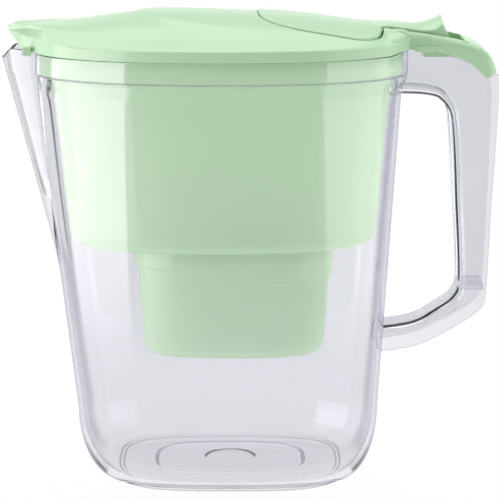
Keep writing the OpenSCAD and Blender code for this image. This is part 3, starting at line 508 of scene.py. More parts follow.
def channel_section(depth, half, wall, radius, tip=0.6):
    """Closed outline of a channel, as (depth from the web, y), outer face first."""
    outer = [(depth, -half + tip), (depth - tip * 0.3, -half + tip * 0.3), (depth - tip, -half)]
    outer += [(radius * (1 - math.sin(f)), -half + radius * (1 - math.cos(f)))
        for f in (math.radians(15 * k) for k in range(7))]
    outer += [(d, -y) for d, y in outer[::-1]]
    low, r = half - wall, max(radius - wall, 0.8)
    inner = [(depth, -low - tip), (depth - tip * 0.3, -low - tip * 0.3), (depth - tip, -low)]
    inner += [(wall + r * (1 - math.sin(f)), -low + r * (1 - math.cos(f)))
        for f in (math.radians(15 * k) for k in range(7))]
    inner += [(d, -y) for d, y in inner[::-1]]
    return outer + inner[::-1]


def channel_ring(web_point, tip_point, half, wall, radius):
    """Section of a channel whose web runs through one (x, z) point and its flanges to the other."""
    way = Vector((tip_point[0] - web_point[0], tip_point[1] - web_point[1]))
    depth = way.length
    way /= depth
    return [(HANDLE_X + web_point[0] + way[0] * d, y, web_point[1] + way[1] * d)
        for d, y in channel_section(depth, half, wall, radius)]


inner_edge = curve(HOLE_UPPER, EDGE_STEPS) + curve(HOLE_LOWER, EDGE_STEPS)
outer_edge = curve(COVER_EDGE, EDGE_STEPS) + curve(OUTER_LOWER, EDGE_STEPS)
handle = solid("handle", [channel_ring(p, q, handle_half(p[1]), FLANGE, GRIP_RADIUS)
    for p, q in zip(inner_edge, outer_edge)], strip=True)

# Plate that closes the channel at the foot of the grip, and two small ribs under the lid's cover
STOP_Z = GRIP_FOOT - 8
stop = block("stop", (HANDLE_X + FINGER_GAP + GRIP_LEAN + 1.2, -GRIP_WIDTH / 2 + 1.2, STOP_Z),
    (HANDLE_X + HANDLE_REACH - 4.5, GRIP_WIDTH / 2 - 1.2, STOP_Z + FLANGE))
cut(handle, stop, "UNION")
RIB_X = HANDLE_X + HANDLE_REACH - 22.4
rib_line = [(0, RIM_HEIGHT - 4), (3.6, RIM_HEIGHT - 6), (2, RIM_HEIGHT - 9.5)]
for side in (-1, 1):
    y1 = side * (HANDLE_TOP_WIDTH / 2 - FLANGE + 0.2)
    rib = solid("rib", [[(RIB_X + x, y, z) for x, z in rib_line] for y in (y1 - 0.8, y1 + 0.8)])
    cut(handle, rib, "UNION")

# The handle ends inside the body's wall: what would stand in the jug's hollow is cut off first
HANDLE_BITE = 0.7
filled = solid("filled", [corner_ring(t, HANDLE_BITE) for t in corner_turns]
    + [wall_ring(z, HANDLE_BITE) for z in wall_heights]
    + [jug_ring(z, 0, RIM_A, RIM_B, RIM_SQUARE, HANDLE_BITE) for z in (LEDGE_Z - 1, RIM_HEIGHT + 20)])
cut(handle, filled)
cut(jug, handle, "UNION")


def plastic(name, color, **inputs):
    """Moulded plastic: a Principled shader with the given colour and settings."""
    made = bpy.data.materials.new(name)
    made.use_nodes = True
    tree = made.node_tree
    shader = next(n for n in tree.nodes if n.type == "BSDF_PRINCIPLED")
    shader.inputs["Base Color"].default_value = rgb(color)
    for key, value in inputs.items():
        shader.inputs[key.replace("_", " ")].default_value = value
    return made, tree, shader


def flow_bump(tree, shader, scale_mm, height_mm):
    """Very faint waviness that cooling leaves on a moulded face."""
    where = add_node(tree, "ShaderNodeTexCoord")
    waves = add_node(tree, "ShaderNodeTexNoise", {"Vector": where.outputs["Object"],
        "Scale": 1000 / scale_mm, "Detail": 2.0, "Roughness": 0.45})
    bump = add_node(tree, "ShaderNodeBump", {"Height": waves.outputs[0], "Strength": 1.0,
        "Distance": height_mm / 1000})
    tree.links.new(bump.outputs["Normal"], shader.inputs["Normal"])


def let_light_through(tree, shader, tint):
    """Lamplight passes straight through the wall to what lies behind, with the given tint."""
    ray = add_node(tree, "ShaderNodeLightPath")
    soft = add_node(tree, "ShaderNodeMath", {0: ray.outputs["Is Shadow Ray"],
        1: ray.outputs["Is Diffuse Ray"]}, operation="MAXIMUM")
    open_wall = add_node(tree, "ShaderNodeBsdfTransparent", {"Color": rgb(tint)})
    mixed = add_node(tree, "ShaderNodeMixShader", {0: soft.outputs[0],
        1: shader.outputs[0], 2: open_wall.outputs[0]})
    finish = next(n for n in tree.nodes if n.type == "OUTPUT_MATERIAL")
    tree.links.new(mixed.outputs[0], finish.inputs["Surface"])


def finished(piece, finish):
    """Gives a piece its one material and its smooth shading."""
    piece.data.materials.clear()
    piece.data.materials.append(finish)
    smoothed(piece)


# Clear SAN, injection moulded with a polished mould: refracts strongly and reads pale lavender. Its
# edges, seen at a glancing angle, carry soft grey light instead of black
clear_san, tree, shader = plastic("clear_SAN_polished_moulding", "EDEDF1",
    Transmission_Weight=1.0, IOR=1.57, Roughness=0.02)
flow_bump(tree, shader, 26, 0.006)
glance = add_node(tree, "ShaderNodeLayerWeight", {"Blend": 0.5})
rim_light = stops(add_node(tree, "ShaderNodeValToRGB", {"Fac": glance.outputs["Facing"]}),
    (0.62, 0.0), (0.92, 0.85))
edge_glow = add_node(tree, "ShaderNodeBsdfTransparent", {"Color": rgb("DEDEE8")})
clear = add_node(tree, "ShaderNodeMixShader",
    {0: rim_light.outputs["Color"], 1: shader.outputs[0], 2: edge_glow.outputs[0]})
let_light_through(tree, clear, "FFFFFF")
finished(jug, clear_san)
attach(jug, "jug")
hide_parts("jug_body", "jug_handle")

# ---------------------------------------------------------------------------------------------
# Funnel: one green see-through moulding that hangs by its rim on the collar's ledge. Its cup holds
# the cartridge, and slots in the cup's floor let the filtered water out.
# ---------------------------------------------------------------------------------------------
FUNNEL_WALL, RIM_GAP = 2.0, 0.5
RIM_OUT_A, RIM_OUT_B = RIM_A - JUG_WALL - RIM_GAP, RIM_B - JUG_WALL - RIM_GAP
TUB_SHIFT, TUB_A, TUB_B, TUB_SQUARE = 0.8, 90.0, 54.3, 2.4
TUB_TAPER, TUB_FLOOR, TUB_CORNER = 5.9, 131.0, 8.0
NECK_A, NECK_B, NECK_STEP = 54.0, 34.25, 1.8
CUP_A, CUP_B = NECK_A - NECK_STEP, NECK_B - NECK_STEP
CUP_SHIFT, CUP_DROP, CUP_TAPER, CUP_CORNER, CUP_SQUARE = 6.8, 61.5, 2.6, 6.0, 3.0
CUP_Z = TUB_FLOOR - CUP_DROP
SEAT_Z, FUNNEL_TOP = LEDGE_Z + 0.15, RIM_HEIGHT - 0.2
FUNNEL_POINTS = 180


def oval_ring(z, cx, a, b, n, count=FUNNEL_POINTS):
    """Level oval ring; cx is its centre's offset from the collar's centre."""
    points = [oval_point(360 * (j + 0.5) / count, a, b, n) for j in range(count)]
    return [(JUG_X + cx + x, y, z) for x, y in points]


def tub_ring(z, grow, inset):
    return oval_ring(z, TUB_SHIFT, TUB_A + grow - inset, TUB_B + grow - inset, TUB_SQUARE)


def rim_ring(z, inset):
    return oval_ring(z, 0, RIM_OUT_A - inset, RIM_OUT_B - inset, RIM_SQUARE)


def cup_ring(z, grow, inset, count=FUNNEL_POINTS):
    return oval_ring(z, CUP_SHIFT, CUP_A + grow - inset, CUP_B + grow - inset, CUP_SQUARE, count)


STEP_HIGH, STEP_LOW = TUB_FLOOR - 11, TUB_FLOOR - 18.5


def step_ring(drop, grow, inset):
    """The neck band's lower edge: level round the spout end, ramped down toward the handle."""
    ring = []
    for x, y, _ in cup_ring(0, grow, inset):
        f = eased((x - JUG_X - CUP_SHIFT + NECK_A / 12) / (NECK_A / 1.8))
        ring.append((x, y, lerp(STEP_HIGH, STEP_LOW, f) + drop))
    return ring


def tub_corner_ring(turn, inset, rise):
    c, s = math.cos(math.radians(turn)), math.sin(math.radians(turn))
    return tub_ring(TUB_FLOOR + TUB_CORNER * (1 - c) + rise * c, -TUB_TAPER - TUB_CORNER * (1 - s), inset)


def cup_corner_ring(turn, inset, rise):
    c, s = math.cos(math.radians(turn)), math.sin(math.radians(turn))
    return cup_ring(CUP_Z + CUP_CORNER * (1 - c) + rise * c, -CUP_TAPER - CUP_CORNER * (1 - s), inset)


ARC_STEPS = 8
turns = [90 * i / ARC_STEPS for i in range(ARC_STEPS + 1)]
tub_side = [(lerp(TUB_FLOOR + TUB_CORNER, SEAT_Z - 3, i / ARC_STEPS), lerp(-TUB_TAPER, 0, i / ARC_STEPS))
    for i in range(1, ARC_STEPS)]
w = FUNNEL_WALL
funnel_rings = [(cup_corner_ring(t, 0, 0), 0) for t in turns]
funnel_rings += [(step_ring(-0.6, 0, 0), 0.5), (step_ring(0, NECK_STEP, 0), 0.7),
    (cup_ring(TUB_FLOOR, NECK_STEP, 0), 1.5)]
funnel_rings += [(tub_corner_ring(t, 0, 0), 0) for t in turns]
funnel_rings += [(tub_ring(z, grow, 0), 0) for z, grow in tub_side]
funnel_rings += [(tub_ring(SEAT_Z - 3, 0, 0), 1.5), (tub_ring(SEAT_Z, 1.6, 0), 0.8),
    (rim_ring(SEAT_Z, 0.5), 0.3), (rim_ring(SEAT_Z + 0.5, 0), 0.3), (rim_ring(FUNNEL_TOP, 0), 0.6),
    (rim_ring(FUNNEL_TOP, w), 0.6), (rim_ring(SEAT_Z + w + 0.5, w), 0.8),
    (tub_ring(SEAT_Z + w, 1, w), 0.8), (tub_ring(SEAT_Z - 3, 0, w), 1.5)]
funnel_rings += [(tub_ring(z, grow, w), 0) for z, grow in tub_side[::-1]]
funnel_rings += [(tub_corner_ring(t, w, w), 0) for t in turns[::-1]]
funnel_rings += [(cup_ring(TUB_FLOOR + w, NECK_STEP, w), 1.5), (step_ring(w, NECK_STEP, w), 0.7),
    (step_ring(w - 0.6, 0, w), 0.5)]
funnel_rings += [(cup_corner_ring(t, w, w), 0) for t in turns[::-1]]
funnel = from_pairs("funnel_tub", funnel_rings)


def slot_row(piece, count, reach, width, half, low, high):
    """Cuts a row of slots through the piece, spread along the cup's length."""
    for i in range(count):
        x = JUG_X + CUP_SHIFT + (i - (count - 1) / 2) * 2 * reach / count
        cut(piece, block("slot", (x - width / 2, -half, low), (x + width / 2, half, high)))


OUTLET_SLOTS, OUTLET_WIDTH = 9, 2.6
slot_row(funnel, OUTLET_SLOTS, CUP_A - 10, OUTLET_WIDTH, CUP_B - 14, CUP_Z - 1, CUP_Z + w + 1)

# Green-tinted SAN, milky: light that falls on one side of the wall glows softly on the other
tinted_san, tree, shader = plastic("green_tinted_SAN_moulding", "E3FADA",
    Transmission_Weight=0.2, IOR=1.57, Roughness=0.25, Coat_Weight=1.0, Coat_Roughness=0.04,
    Coat_IOR=1.7)
flow_bump(tree, shader, 30, 0.008)
glow = add_node(tree, "ShaderNodeBsdfTranslucent", {"Color": rgb("F0FFEA")})
milky = add_node(tree, "ShaderNodeMixShader", {0: 0.48, 1: shader.outputs[0], 2: glow.outputs[0]})
let_light_through(tree, milky, "EEF8EB")
finished(funnel, tinted_san)
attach(funnel, "funnel")
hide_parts("funnel")

# ---------------------------------------------------------------------------------------------
# Lid: one glossy moulding of mint ABS. A dome with a soft raised eye runs out to a nose over the
# spout, and at the other end into a cover that sits on the handle and holds the flap's hinge.
# ---------------------------------------------------------------------------------------------
LID_GAP, LID_WALL, SKIRT_HEIGHT = 0.3, 2.0, 5.6
LID_Z = RIM_HEIGHT + LID_GAP
EDGE_Z = LID_Z + SKIRT_HEIGHT
DOME_HEIGHT, NOSE_HEIGHT, NOSE_UNDERCUT, NOSE_TAPER = 21.6, 14.4, 7.5, 0.3
NOSE_TIP = -RIM_A - 13.4
NOSE_HALF = SPOUT_WIDTH / 2 - JUG_WALL - 0.5
NOSE_ROOT = -oval_reach(NOSE_HALF, RIM_A, RIM_B, RIM_SQUARE)
NOSE_RISE = RIM_HEIGHT + NOSE_HEIGHT - EDGE_Z
LID_POINTS, NOSE_POINTS = 340, 51
COVER_HALF, COVER_WALL, COVER_RADIUS = HANDLE_TOP_WIDTH / 2, 2.8, 5.0
HINGE_X, HINGE_Z = RIM_A - 5.4, RIM_HEIGHT + 9.9
RIDGE = curve([(RIM_A * x, RIM_HEIGHT + DOME_HEIGHT * z) for x, z in (
    (NOSE_TIP / RIM_A, 0.704), (-0.91, 0.731), (-0.75, 0.787), (-0.59, 0.898), (-0.43, 0.972),
    (-0.27, 1), (0.05, 0.954), (0.37, 0.88), (0.69, 0.694), (0.9, 0.556), (1, 0.491))], 12)
COVER_TOP = curve([(-14, RIM_HEIGHT + 12.2), (6, RIM_HEIGHT + 10.6),
    (HANDLE_REACH - 24, RIM_HEIGHT + 7.7), (HANDLE_REACH - 11.5, RIM_HEIGHT + 4),
    (HANDLE_REACH - 4, RIM_HEIGHT - 2.4), (HANDLE_REACH - 0.6, BUTT_Z + 2.5)], EDGE_STEPS)


def along(line, x):
    """Height at x of a line of (x, z) points that runs from left to right."""
    k = bisect.bisect_left(line, (x,))
    if k == 0 or k == len(line):
        return line[min(k, len(line) - 1)][1]
    (x1, z1), (x2, z2) = line[k - 1], line[k]
    return lerp(z1, z2, (x - x1) / (x2 - x1))


def blended(a, b, width):
    """The greater of two heights, with a fillet where they cross."""
    near = max(width - abs(a - b), 0) / width
    return max(a, b) + near * near * width / 4


def lid_half(x):
    """Half width of the lid at x, nose and body."""
    if x < NOSE_ROOT:
        out = limited((NOSE_ROOT - x) / (NOSE_ROOT - NOSE_TIP))
        return NOSE_HALF * (1 - out ** SPOUT_ROUND) ** (1 / SPOUT_ROUND)
    return RIM_B * max(0.0, 1 - (abs(x) / RIM_A) ** RIM_SQUARE) ** (1 / RIM_SQUARE)


EYE_X, EYE_A, EYE_B = 22, 68, 43


def eye_step(x, y):
    """A soft step of 1 mm rings the raised eye of the dome and fades toward the handle."""
    r = math.hypot((x - EYE_X) / EYE_A, y / EYE_B)
    return (1 - eased((x + 10) / 60)) * (eased((1.06 - r) / 0.14) - 1)


def dome_fall(across, s):
    """The dome's share of its full height: it falls off across the lid and, late, toward the edge."""
    return (1 - across ** 2.1) * (1 - s ** 16)


def dome_z(x, y, s, edge=EDGE_Z):
    """Height of the dome over a point of the plan; s is how near the point is to the edge."""
    across = limited(abs(y) / max(lid_half(x), 0.1))
    return edge + (along(RIDGE, x) + eye_step(x, y) - edge) * dome_fall(across, limited(s))


def ear_line(x):
    """Height of an ear over the pin it holds; x is the distance from the pin."""
    return HINGE_Z + 2.3 - x ** 2 / 14


def raised_z(x, y, s, edge=EDGE_Z):
    """The dome's height with the rise up to the cover and to the two hinge ears."""
    z = dome_z(x, y, s, edge)
    if x < HINGE_X - 24:
        return z
    wide = 3.5 * eased((x - 80) / 6) * (1 - eased((x - 91) / 6))
    side = max(0.0, abs(y) - 15 - wide)
    cover = along(COVER_TOP, x - RIM_A) - side * side / 6 - 9 * (1 - eased((x - RIM_A + 26) / 12))
    boss = ear_line(x - HINGE_X) - max(0.0, abs(y) - 17.6) ** 2 / 1.5
    return blended(blended(z, cover, 7), boss, 2)


def lid_outline(inset, tip):
    """The collar's oval and the nose, as (x, y, share of the nose), with dense points at the hinge."""
    a, b, half = RIM_A - inset, RIM_B - inset, NOSE_HALF - inset
    turn = 180 - math.degrees(math.asin((half / b) ** (RIM_SQUARE / 2)))
    root = -oval_reach(half, a, b, RIM_SQUARE)
    out = []
    for j in range(LID_POINTS):
        f = 2 * j / (LID_POINTS - 1) - 1
        out.append((*oval_point(turn * (0.42 * f + 0.58 * f ** 3), a, b, RIM_SQUARE), 0))
    for j in range(1, NOSE_POINTS + 1):
        f = math.radians(lerp(90, -90, j / (NOSE_POINTS + 1)))
        q = math.cos(f) ** (2 / SPOUT_ROUND)
        y = half * math.copysign(abs(math.sin(f)) ** (2 / SPOUT_ROUND), f)
        out.append((min(root - (root - tip - inset) * q, -oval_reach(y, a, b, RIM_SQUARE)), y, q))
    return out


SWEEP_REACH, SWEEP_SOFT, SWEEP_SPAN = 24, 7.0, 45


def swept(line):
    """The outline with its two corners between body and nose drawn out into a sweep."""
    out, n = [], len(line)
    for i, (x, y, q) in enumerate(line):
        near = eased(1 - math.hypot(x - NOSE_ROOT, abs(y) - NOSE_HALF) / SWEEP_REACH)
        if not near:
            out.append((x, y, q))
            continue
        sx = sy = total = 0.0
        for j in range(i - SWEEP_SPAN, i + SWEEP_SPAN + 1):
            a, b, c = line[(j - 1) % n], line[j % n], line[(j + 1) % n]
            far = math.dist((x, y), b[:2]) / (SWEEP_SOFT * near + 0.2)
            pull = math.dist(a[:2], c[:2]) * math.exp(-far ** 2)
            sx, sy, total = sx + pull * b[0], sy + pull * b[1], total + pull
        out.append((sx / total, sy / total, q))
    return out


ROOT_PULL_X, ROOT_PULL_Y = 0.03, 0.12
SHARE_START, SHARE_LENGTH = 15, 33


def nose_share(x, y, q):
    """How fully a point of the outline belongs to the nose: 1 on it, fading out round the body."""
    if q:
        return 1.0
    return 1 - eased((abs(y) - SHARE_START) / SHARE_LENGTH) if x < 0 else 0.0


def leaned(x, y, q, full, share):
    """A point of the outline drawn in as the nose's side leans inward toward its upper edge."""
    share *= full
    narrow = ROOT_PULL_Y + (NOSE_TAPER - ROOT_PULL_Y) * eased(q / 0.7)
    return x * (1 - ROOT_PULL_X * share * (1 - q)), y * (1 - narrow * share)


def skirt_ring(z, inset, tip, rise):
    """Ring of the skirt, lifted by the rise where it runs out along the nose."""
    ring = []
    for x, y, q in lid_outline(inset, tip):
        px, py = leaned(x, y, q, rise / NOSE_RISE, nose_share(x, y, q))
        low = z + rise * nose_share(x, y, q) + (rim_rise(x) if not rise else 0)
        ring.append((JUG_X + px, py, low))
    return ring


FLAP_LENGTH, FLAP_WIDTH, FLAP_THICKNESS, FLAP_PROUD = 75.0, 76.0, 2.0, 0.7
FLAP_GAP, FLAP_SEAT = 0.6, 3.6
LEVER_WIDTH, LEVER_LENGTH = 30.0, 26.4
FLAP_START, FLAP_MIDDLE, NECK_X = HINGE_X - FLAP_LENGTH, HINGE_X - 33, HINGE_X - 9.5


def flap_half(x):
    """Half width of the flap: a round end, a full middle and a narrow neck at the hinge."""
    if x < FLAP_MIDDLE:
        out = limited((FLAP_MIDDLE - x) / (FLAP_MIDDLE - FLAP_START))
        return FLAP_WIDTH / 2 * (1 - out ** 2.8) ** (1 / 2.8)
    out = limited((x - FLAP_MIDDLE) / (NECK_X - FLAP_MIDDLE))
    return lerp(LEVER_WIDTH / 2, FLAP_WIDTH / 2, math.sqrt(max(0.0, 1 - out ** 3)))


def seat_depth(x, y):
    """How far the dome's inner face sinks under the flap's recess."""
    return FLAP_THICKNESS * (1 - eased((abs(y) - flap_half(x) - 2) / 4)) \
        * eased((x - FLAP_START + 6) / 5)


dome_line = swept(lid_outline(0, NOSE_TIP))
TIP_DROP = 1.5


def dome_ring(s, drop=0.0):
    """Ring of the dome at share s of the outline; with a drop, of its inner face."""
    ring = []
    for x, y, q in dome_line:
        share = nose_share(x, y, q)
        rise = NOSE_RISE * share - TIP_DROP * eased((q - 0.78) / 0.22)
        edge = EDGE_Z + rise * eased((s - 0.7) / 0.25)
        x, y = leaned(s * x, s * y, q, eased((s - 0.7) / 0.3), share)
        z = dome_z(x, y, s, edge) - drop - seat_depth(x, y) if drop else raised_z(x, y, s, edge)
        ring.append((JUG_X + x, y, z))
    return ring


def oval_share(x, y):
    """0 at the collar's centre and 1 on its oval."""
    return ((abs(x) / RIM_A) ** RIM_SQUARE + (abs(y) / RIM_B) ** RIM_SQUARE) ** (1 / RIM_SQUARE)


outer_shares = [0.985, 0.978] + [lerp(0.97, 0.7, i / 34) for i in range(35)] \
    + [lerp(0.7, 0.04, i / 22) for i in range(1, 23)]
inner_shares = (0.06, 0.2, 0.34, 0.48, 0.6, 0.7, 0.78, 0.85, 0.9, 0.93)
lid_rings = [(dome_ring(s, LID_WALL), 0) for s in inner_shares]
lid_rings += [(skirt_ring(EDGE_Z - LID_WALL, LID_WALL, NOSE_TIP + 1.5, NOSE_RISE), 0.5),
    (skirt_ring(LID_Z, LID_WALL, NOSE_TIP + NOSE_UNDERCUT + 1, 0), 0.4),
    (skirt_ring(LID_Z, 0, NOSE_TIP + NOSE_UNDERCUT, 0), 0.5)]
NOSE_PLATE = 1.9
plate_line = [(x, y, top - lerp(0.5, NOSE_PLATE, nose_share(*point))) for (x, y, top), point
    in zip(dome_ring(1.0), dome_line)]
lid_rings += [(plate_line, 0.5), (dome_ring(1.0), 0.8)] + [(dome_ring(s), 0) for s in outer_shares]
lid = from_pairs("lid_dome", lid_rings, steps=3)


def bevelled(piece, width, angle=40, segments=3):
    """Rounds every corner that is sharper than the angle; width is in millimetres."""
    change = piece.modifiers.new("bevel", "BEVEL")
    change.width, change.segments = width / 1000, segments
    change.limit_method, change.angle_limit = "ANGLE", math.radians(angle)
    return apply_modifiers(piece)


def rod(name, x, z, radius, half, points=48):
    """Round bar along Y about (x, z)."""
    turns = [2 * math.pi * k / points for k in range(points)]
    ring = [(x + radius * math.cos(t), z + radius * math.sin(t)) for t in turns]
    return solid(name, [[(px, y, pz) for px, pz in ring] for y in (-half, half)])


# Scooped groove under the plate edge on each side of the nose, with a round end on the body
GROOVE_Z, GROOVE_DEPTH, GROOVE_HALF = RIM_HEIGHT + 10.6, 1.5, 2.0
GROOVE_START, GROOVE_END = 2.5, 27
GROOVE_SECTION = ((0.5, 1.0), (-0.7, 1.0), (-0.93, 0.93), (-1.0, 0.75), (-0.85, 0.45), (-0.45, -0.25),
    (0.0, -1.0), (0.5, -1.6))
lower = skirt_ring(LID_Z, 0, NOSE_TIP + NOSE_UNDERCUT, 0)
for side in (-1, 1):
    way = []
    for (x1, y1, z1), (x2, y2, z2), (x, y, q) in zip(lower, plate_line, lid_outline(0, NOSE_TIP)):
        if side * y > GROOVE_START and (q or (x < 0 and abs(y) < GROOVE_END)):
            g = limited((GROOVE_Z - z1) / (z2 - z1))
            way.append((lerp(x1, x2, g), lerp(y1, y2, g), min(GROOVE_Z, z2 - 1.0)))
    way.sort(key=lambda p: p[0])
    spans = [0.0]
    for p, r in zip(way, way[1:]):
        spans.append(spans[-1] + math.dist(p, r))
    tool_rings = []
    for k in range(1, len(way) - 1):
        ahead = Vector((way[k + 1][0] - way[k - 1][0], way[k + 1][1] - way[k - 1][1], 0)).normalized()
        outward = Vector((ahead.y, -ahead.x, 0)) * (1 if side < 0 else -1)
        f = spans[k] / spans[-1]
        round_end = math.sqrt(max(1 - max(0.0, (f - 0.88) / 0.125) ** 2, 0.01))
        tall = lerp(0.4, GROOVE_HALF, eased(f * 1.8)) * round_end
        deep = GROOVE_DEPTH * tall / GROOVE_HALF
        tool_rings.append([tuple(Vector(way[k]) + outward * deep * out + Vector((0, 0, tall * up)))
            for out, up in GROOVE_SECTION])
    cut(lid, solid("groove", tool_rings))

# Locating rib inside the funnel's rim
RIB_INSET, RIB_WALL = JUG_WALL + RIM_GAP + FUNNEL_WALL + 0.5, 1.6
RIB_LOW, RIB_HIGH = LID_Z - 5.4, LID_Z + 4.6


def rib_ring(z, inset):
    return oval_ring(z, 0, RIM_A - RIB_INSET - inset, RIM_B - RIB_INSET - inset, RIM_SQUARE)


lid_rib = from_pairs("lid_rib", [(rib_ring(z, inset), r) for z, inset, r in ((RIB_HIGH, 0.8, 0),
    (RIB_HIGH, 0.3, 0), (RIB_LOW, 0, 0.4), (RIB_LOW, RIB_WALL, 0.4), (RIB_HIGH, RIB_WALL, 0))])
bore = solid("bore", [rib_ring(z, RIB_WALL) for z in (RIB_LOW - 1, RIB_HIGH + 1)])
cut(lid_rib, bore)
cut(lid, lid_rib, "UNION")

# Cover: a channel upside down over the handle, with the box of the well for the thumb lever
cover_low = [(x, z + LID_GAP) for x, z in curve(COVER_EDGE, EDGE_STEPS)]
cover = solid("cover", [channel_ring(p, q, COVER_HALF, COVER_WALL, COVER_RADIUS)
    for p, q in zip(COVER_TOP, cover_low)], strip=True)
cut(lid, cover, "UNION")

# Shoulders: on each side the end of the skirt sweeps round into the side of the cover
SHOULDER_START, SHOULDER_END, SHOULDER_ROUND, SHOULDER_STEPS = 85, 104, 14, 38
for side in (-1, 1):
    sections = []
    for k in range(SHOULDER_STEPS + 1):
        x = lerp(SHOULDER_START, SHOULDER_END, k / SHOULDER_STEPS)
        grown = eased((x - SHOULDER_START) / 5)
        out = blended(lid_half(x), COVER_HALF + 0.03, SHOULDER_ROUND) - 0.25 * (1 - grown)
        top = along(COVER_TOP, x - RIM_A) - 0.1
        low = LID_Z + rim_rise(x) + 0.02
        section = [(15.0, low)]
        for j in range(25):
            f = j / 24
            y = lerp(15, out, f)
            free = raised_z(x, y, min(oval_share(x, y), 1.0)) - 0.25
            hump = EDGE_Z + (top - EDGE_Z) * dome_fall(f, f)
            section.append((y, lerp(free, max(free, hump), grown)))
        section += [(out, lerp(low, EDGE_Z, 0.86)), (out, low + 0.4), (out - 0.4, low)]
        sections.append([(JUG_X + x, side * y, z) for y, z in section])
    cut(lid, solid("shoulder", sections), "UNION")

# Well for the thumb lever: a box in the cover, with a step down toward the butt of the handle
WELL_HALF, WELL_OUTER, WELL_FLOOR = LEVER_WIDTH / 2 + 1.3, COVER_HALF - FLANGE - 0.3, 1.5
WELL_START, WELL_STEP, WELL_END = JUG_X + HINGE_X - 5.4, HANDLE_X + 8.4, HANDLE_X + 29
WELL_TOP, WELL_LOW = RIM_HEIGHT + 2.2, RIM_HEIGHT - 2.1
cut(lid, block("well", (WELL_START - 1.6, -WELL_OUTER, WELL_TOP),
    (WELL_END + WELL_FLOOR, WELL_OUTER, RIM_HEIGHT + 6)), "UNION")
cut(lid, block("well", (WELL_STEP - WELL_FLOOR, -WELL_OUTER, WELL_LOW),
    (WELL_END + WELL_FLOOR - 0.05, WELL_OUTER - 0.05, RIM_HEIGHT + 4)), "UNION")
for side in (-1, 1):
    # Ear: the cheek beside the well that holds the flap's pin
    y1, y2 = side * WELL_HALF, side * (COVER_HALF - 0.4)
    ear_rings = []
    for k in range(15):
        x = lerp(-4, 17, k / 14)
        top = max(along(COVER_TOP, HINGE_X + x - RIM_A) - 0.4, ear_line(x))
        ear_rings.append([(JUG_X + HINGE_X + x, y, z) for y, z in ((y1, RIM_HEIGHT + 3.5),
            (y2, RIM_HEIGHT + 3.5), (y2, top - 2.2), (lerp(y2, y1, 0.25), top - 0.8),
            (lerp(y2, y1, 0.55), top), (y1, top - 0.2))])
    cut(lid, solid("ear", ear_rings), "UNION")
    # Short lip outside the handle's flange
    lip_y = side * (COVER_HALF + 0.35)
    lip = block("lip", (HANDLE_X + 2.2, lip_y - 0.6, RIM_HEIGHT + 0.8),
        (HANDLE_X + 18, lip_y + 0.6, RIM_HEIGHT + 3.8))
    cut(lid, bevelled(lip, 0.45), "UNION")
    # Tab that drops into the notch of the spout's lip
    tab_y = side * (NOSE_HALF + 0.2)
    tab = block("tab", (NOTCH_X + 0.6, tab_y - 1.6, RIM_HEIGHT - NOTCH_DEPTH + 0.4),
        (NOTCH_X + NOTCH_LENGTH - 0.6, tab_y + 1.6, RIM_HEIGHT + 3))
    cut(lid, bevelled(tab, 0.35), "UNION")


def flap_outline(grow, count=60):
    """The flap's outline from its neck round to its neck again, as offsets from the collar."""
    line = []
    for k in range(count + 1):
        f = k / count
        crowded = f if f < 0.4 else f + 0.25 * math.sin(math.pi * (f - 0.4) / 0.6) * (1 - f)
        place = lerp(NECK_X + 1 + 0.9 * grow, FLAP_START - grow, crowded)
        # The gap widens at the neck, whose corners swing toward the hinge when the flap opens
        swing = 1.7 * grow * eased((place - NECK_X + 5) / 5)
        inside = place + grow * limited((NECK_X - place) / 30) - swing
        half = flap_half(min(max(inside, FLAP_START), NECK_X))
        line.append((place, half + grow * limited(half / 4)))
    return [(x, -h) for x, h in line] + [(x, h) for x, h in line[::-1]]


def flap_ring(line, share, rise, lifted, pull=0.0):
    """Ring that follows the dome at a share of the flap's outline."""
    ring = []
    for x, y in line:
        core = min(max(x, FLAP_START + 30), NECK_X - 12)
        reach = math.hypot(x - core, y)
        f = share * max(0.0, 1 - pull / max(reach, 0.01))
        px, py = lerp(core, x, f), y * f
        lift = FLAP_PROUD + 1.4 * eased((px - HINGE_X + 26) / 22) if lifted else 0
        ring.append((JUG_X + px, py, dome_z(px, py, oval_share(px, py)) + rise + lift))
    return ring


shares = [0.02, 0.12, 0.25, 0.4, 0.55, 0.7, 0.82, 0.92, 0.97]
recess_line = flap_outline(FLAP_GAP)
recess_low = FLAP_PROUD - FLAP_THICKNESS - 0.3
recess = solid("recess", [flap_ring(recess_line, s, recess_low, False) for s in shares + [1.0]]
    + [[(x, y, RIM_HEIGHT + 34) for x, y, _ in flap_ring(recess_line, 1.0, 0, False)]], strip=True)
cut(lid, recess)
# Fill opening under the flap, which leaves a seat all round
OPENING_STEPS = 70
opening = [(x, flap_half(x) - FLAP_SEAT) for x in (lerp(FLAP_START + FLAP_SEAT, NECK_X - 8, i / OPENING_STEPS)
    for i in range(OPENING_STEPS + 1))]
cut(lid, slab("opening", [(JUG_X + x, -h) for x, h in opening]
    + [(JUG_X + x, h) for x, h in opening[::-1]], RIM_HEIGHT + 1, RIM_HEIGHT + 26))
cut(lid, block("neck_way", (JUG_X + NECK_X - 2, -LEVER_WIDTH / 2 - 0.6, RIM_HEIGHT + 11.0),
    (WELL_START + 0.1, LEVER_WIDTH / 2 + 0.6, RIM_HEIGHT + 30)))
cut(lid, block("well", (WELL_START, -WELL_HALF, WELL_TOP + WELL_FLOOR),
    (WELL_STEP, WELL_HALF, RIM_HEIGHT + 30)))
cut(lid, block("well", (WELL_STEP - 0.1, -WELL_HALF + 0.01, WELL_LOW + WELL_FLOOR),
    (WELL_END, WELL_HALF - 0.01, RIM_HEIGHT + 29)))
PIN_RADIUS, PIN_GAP = 1.5, 0.08
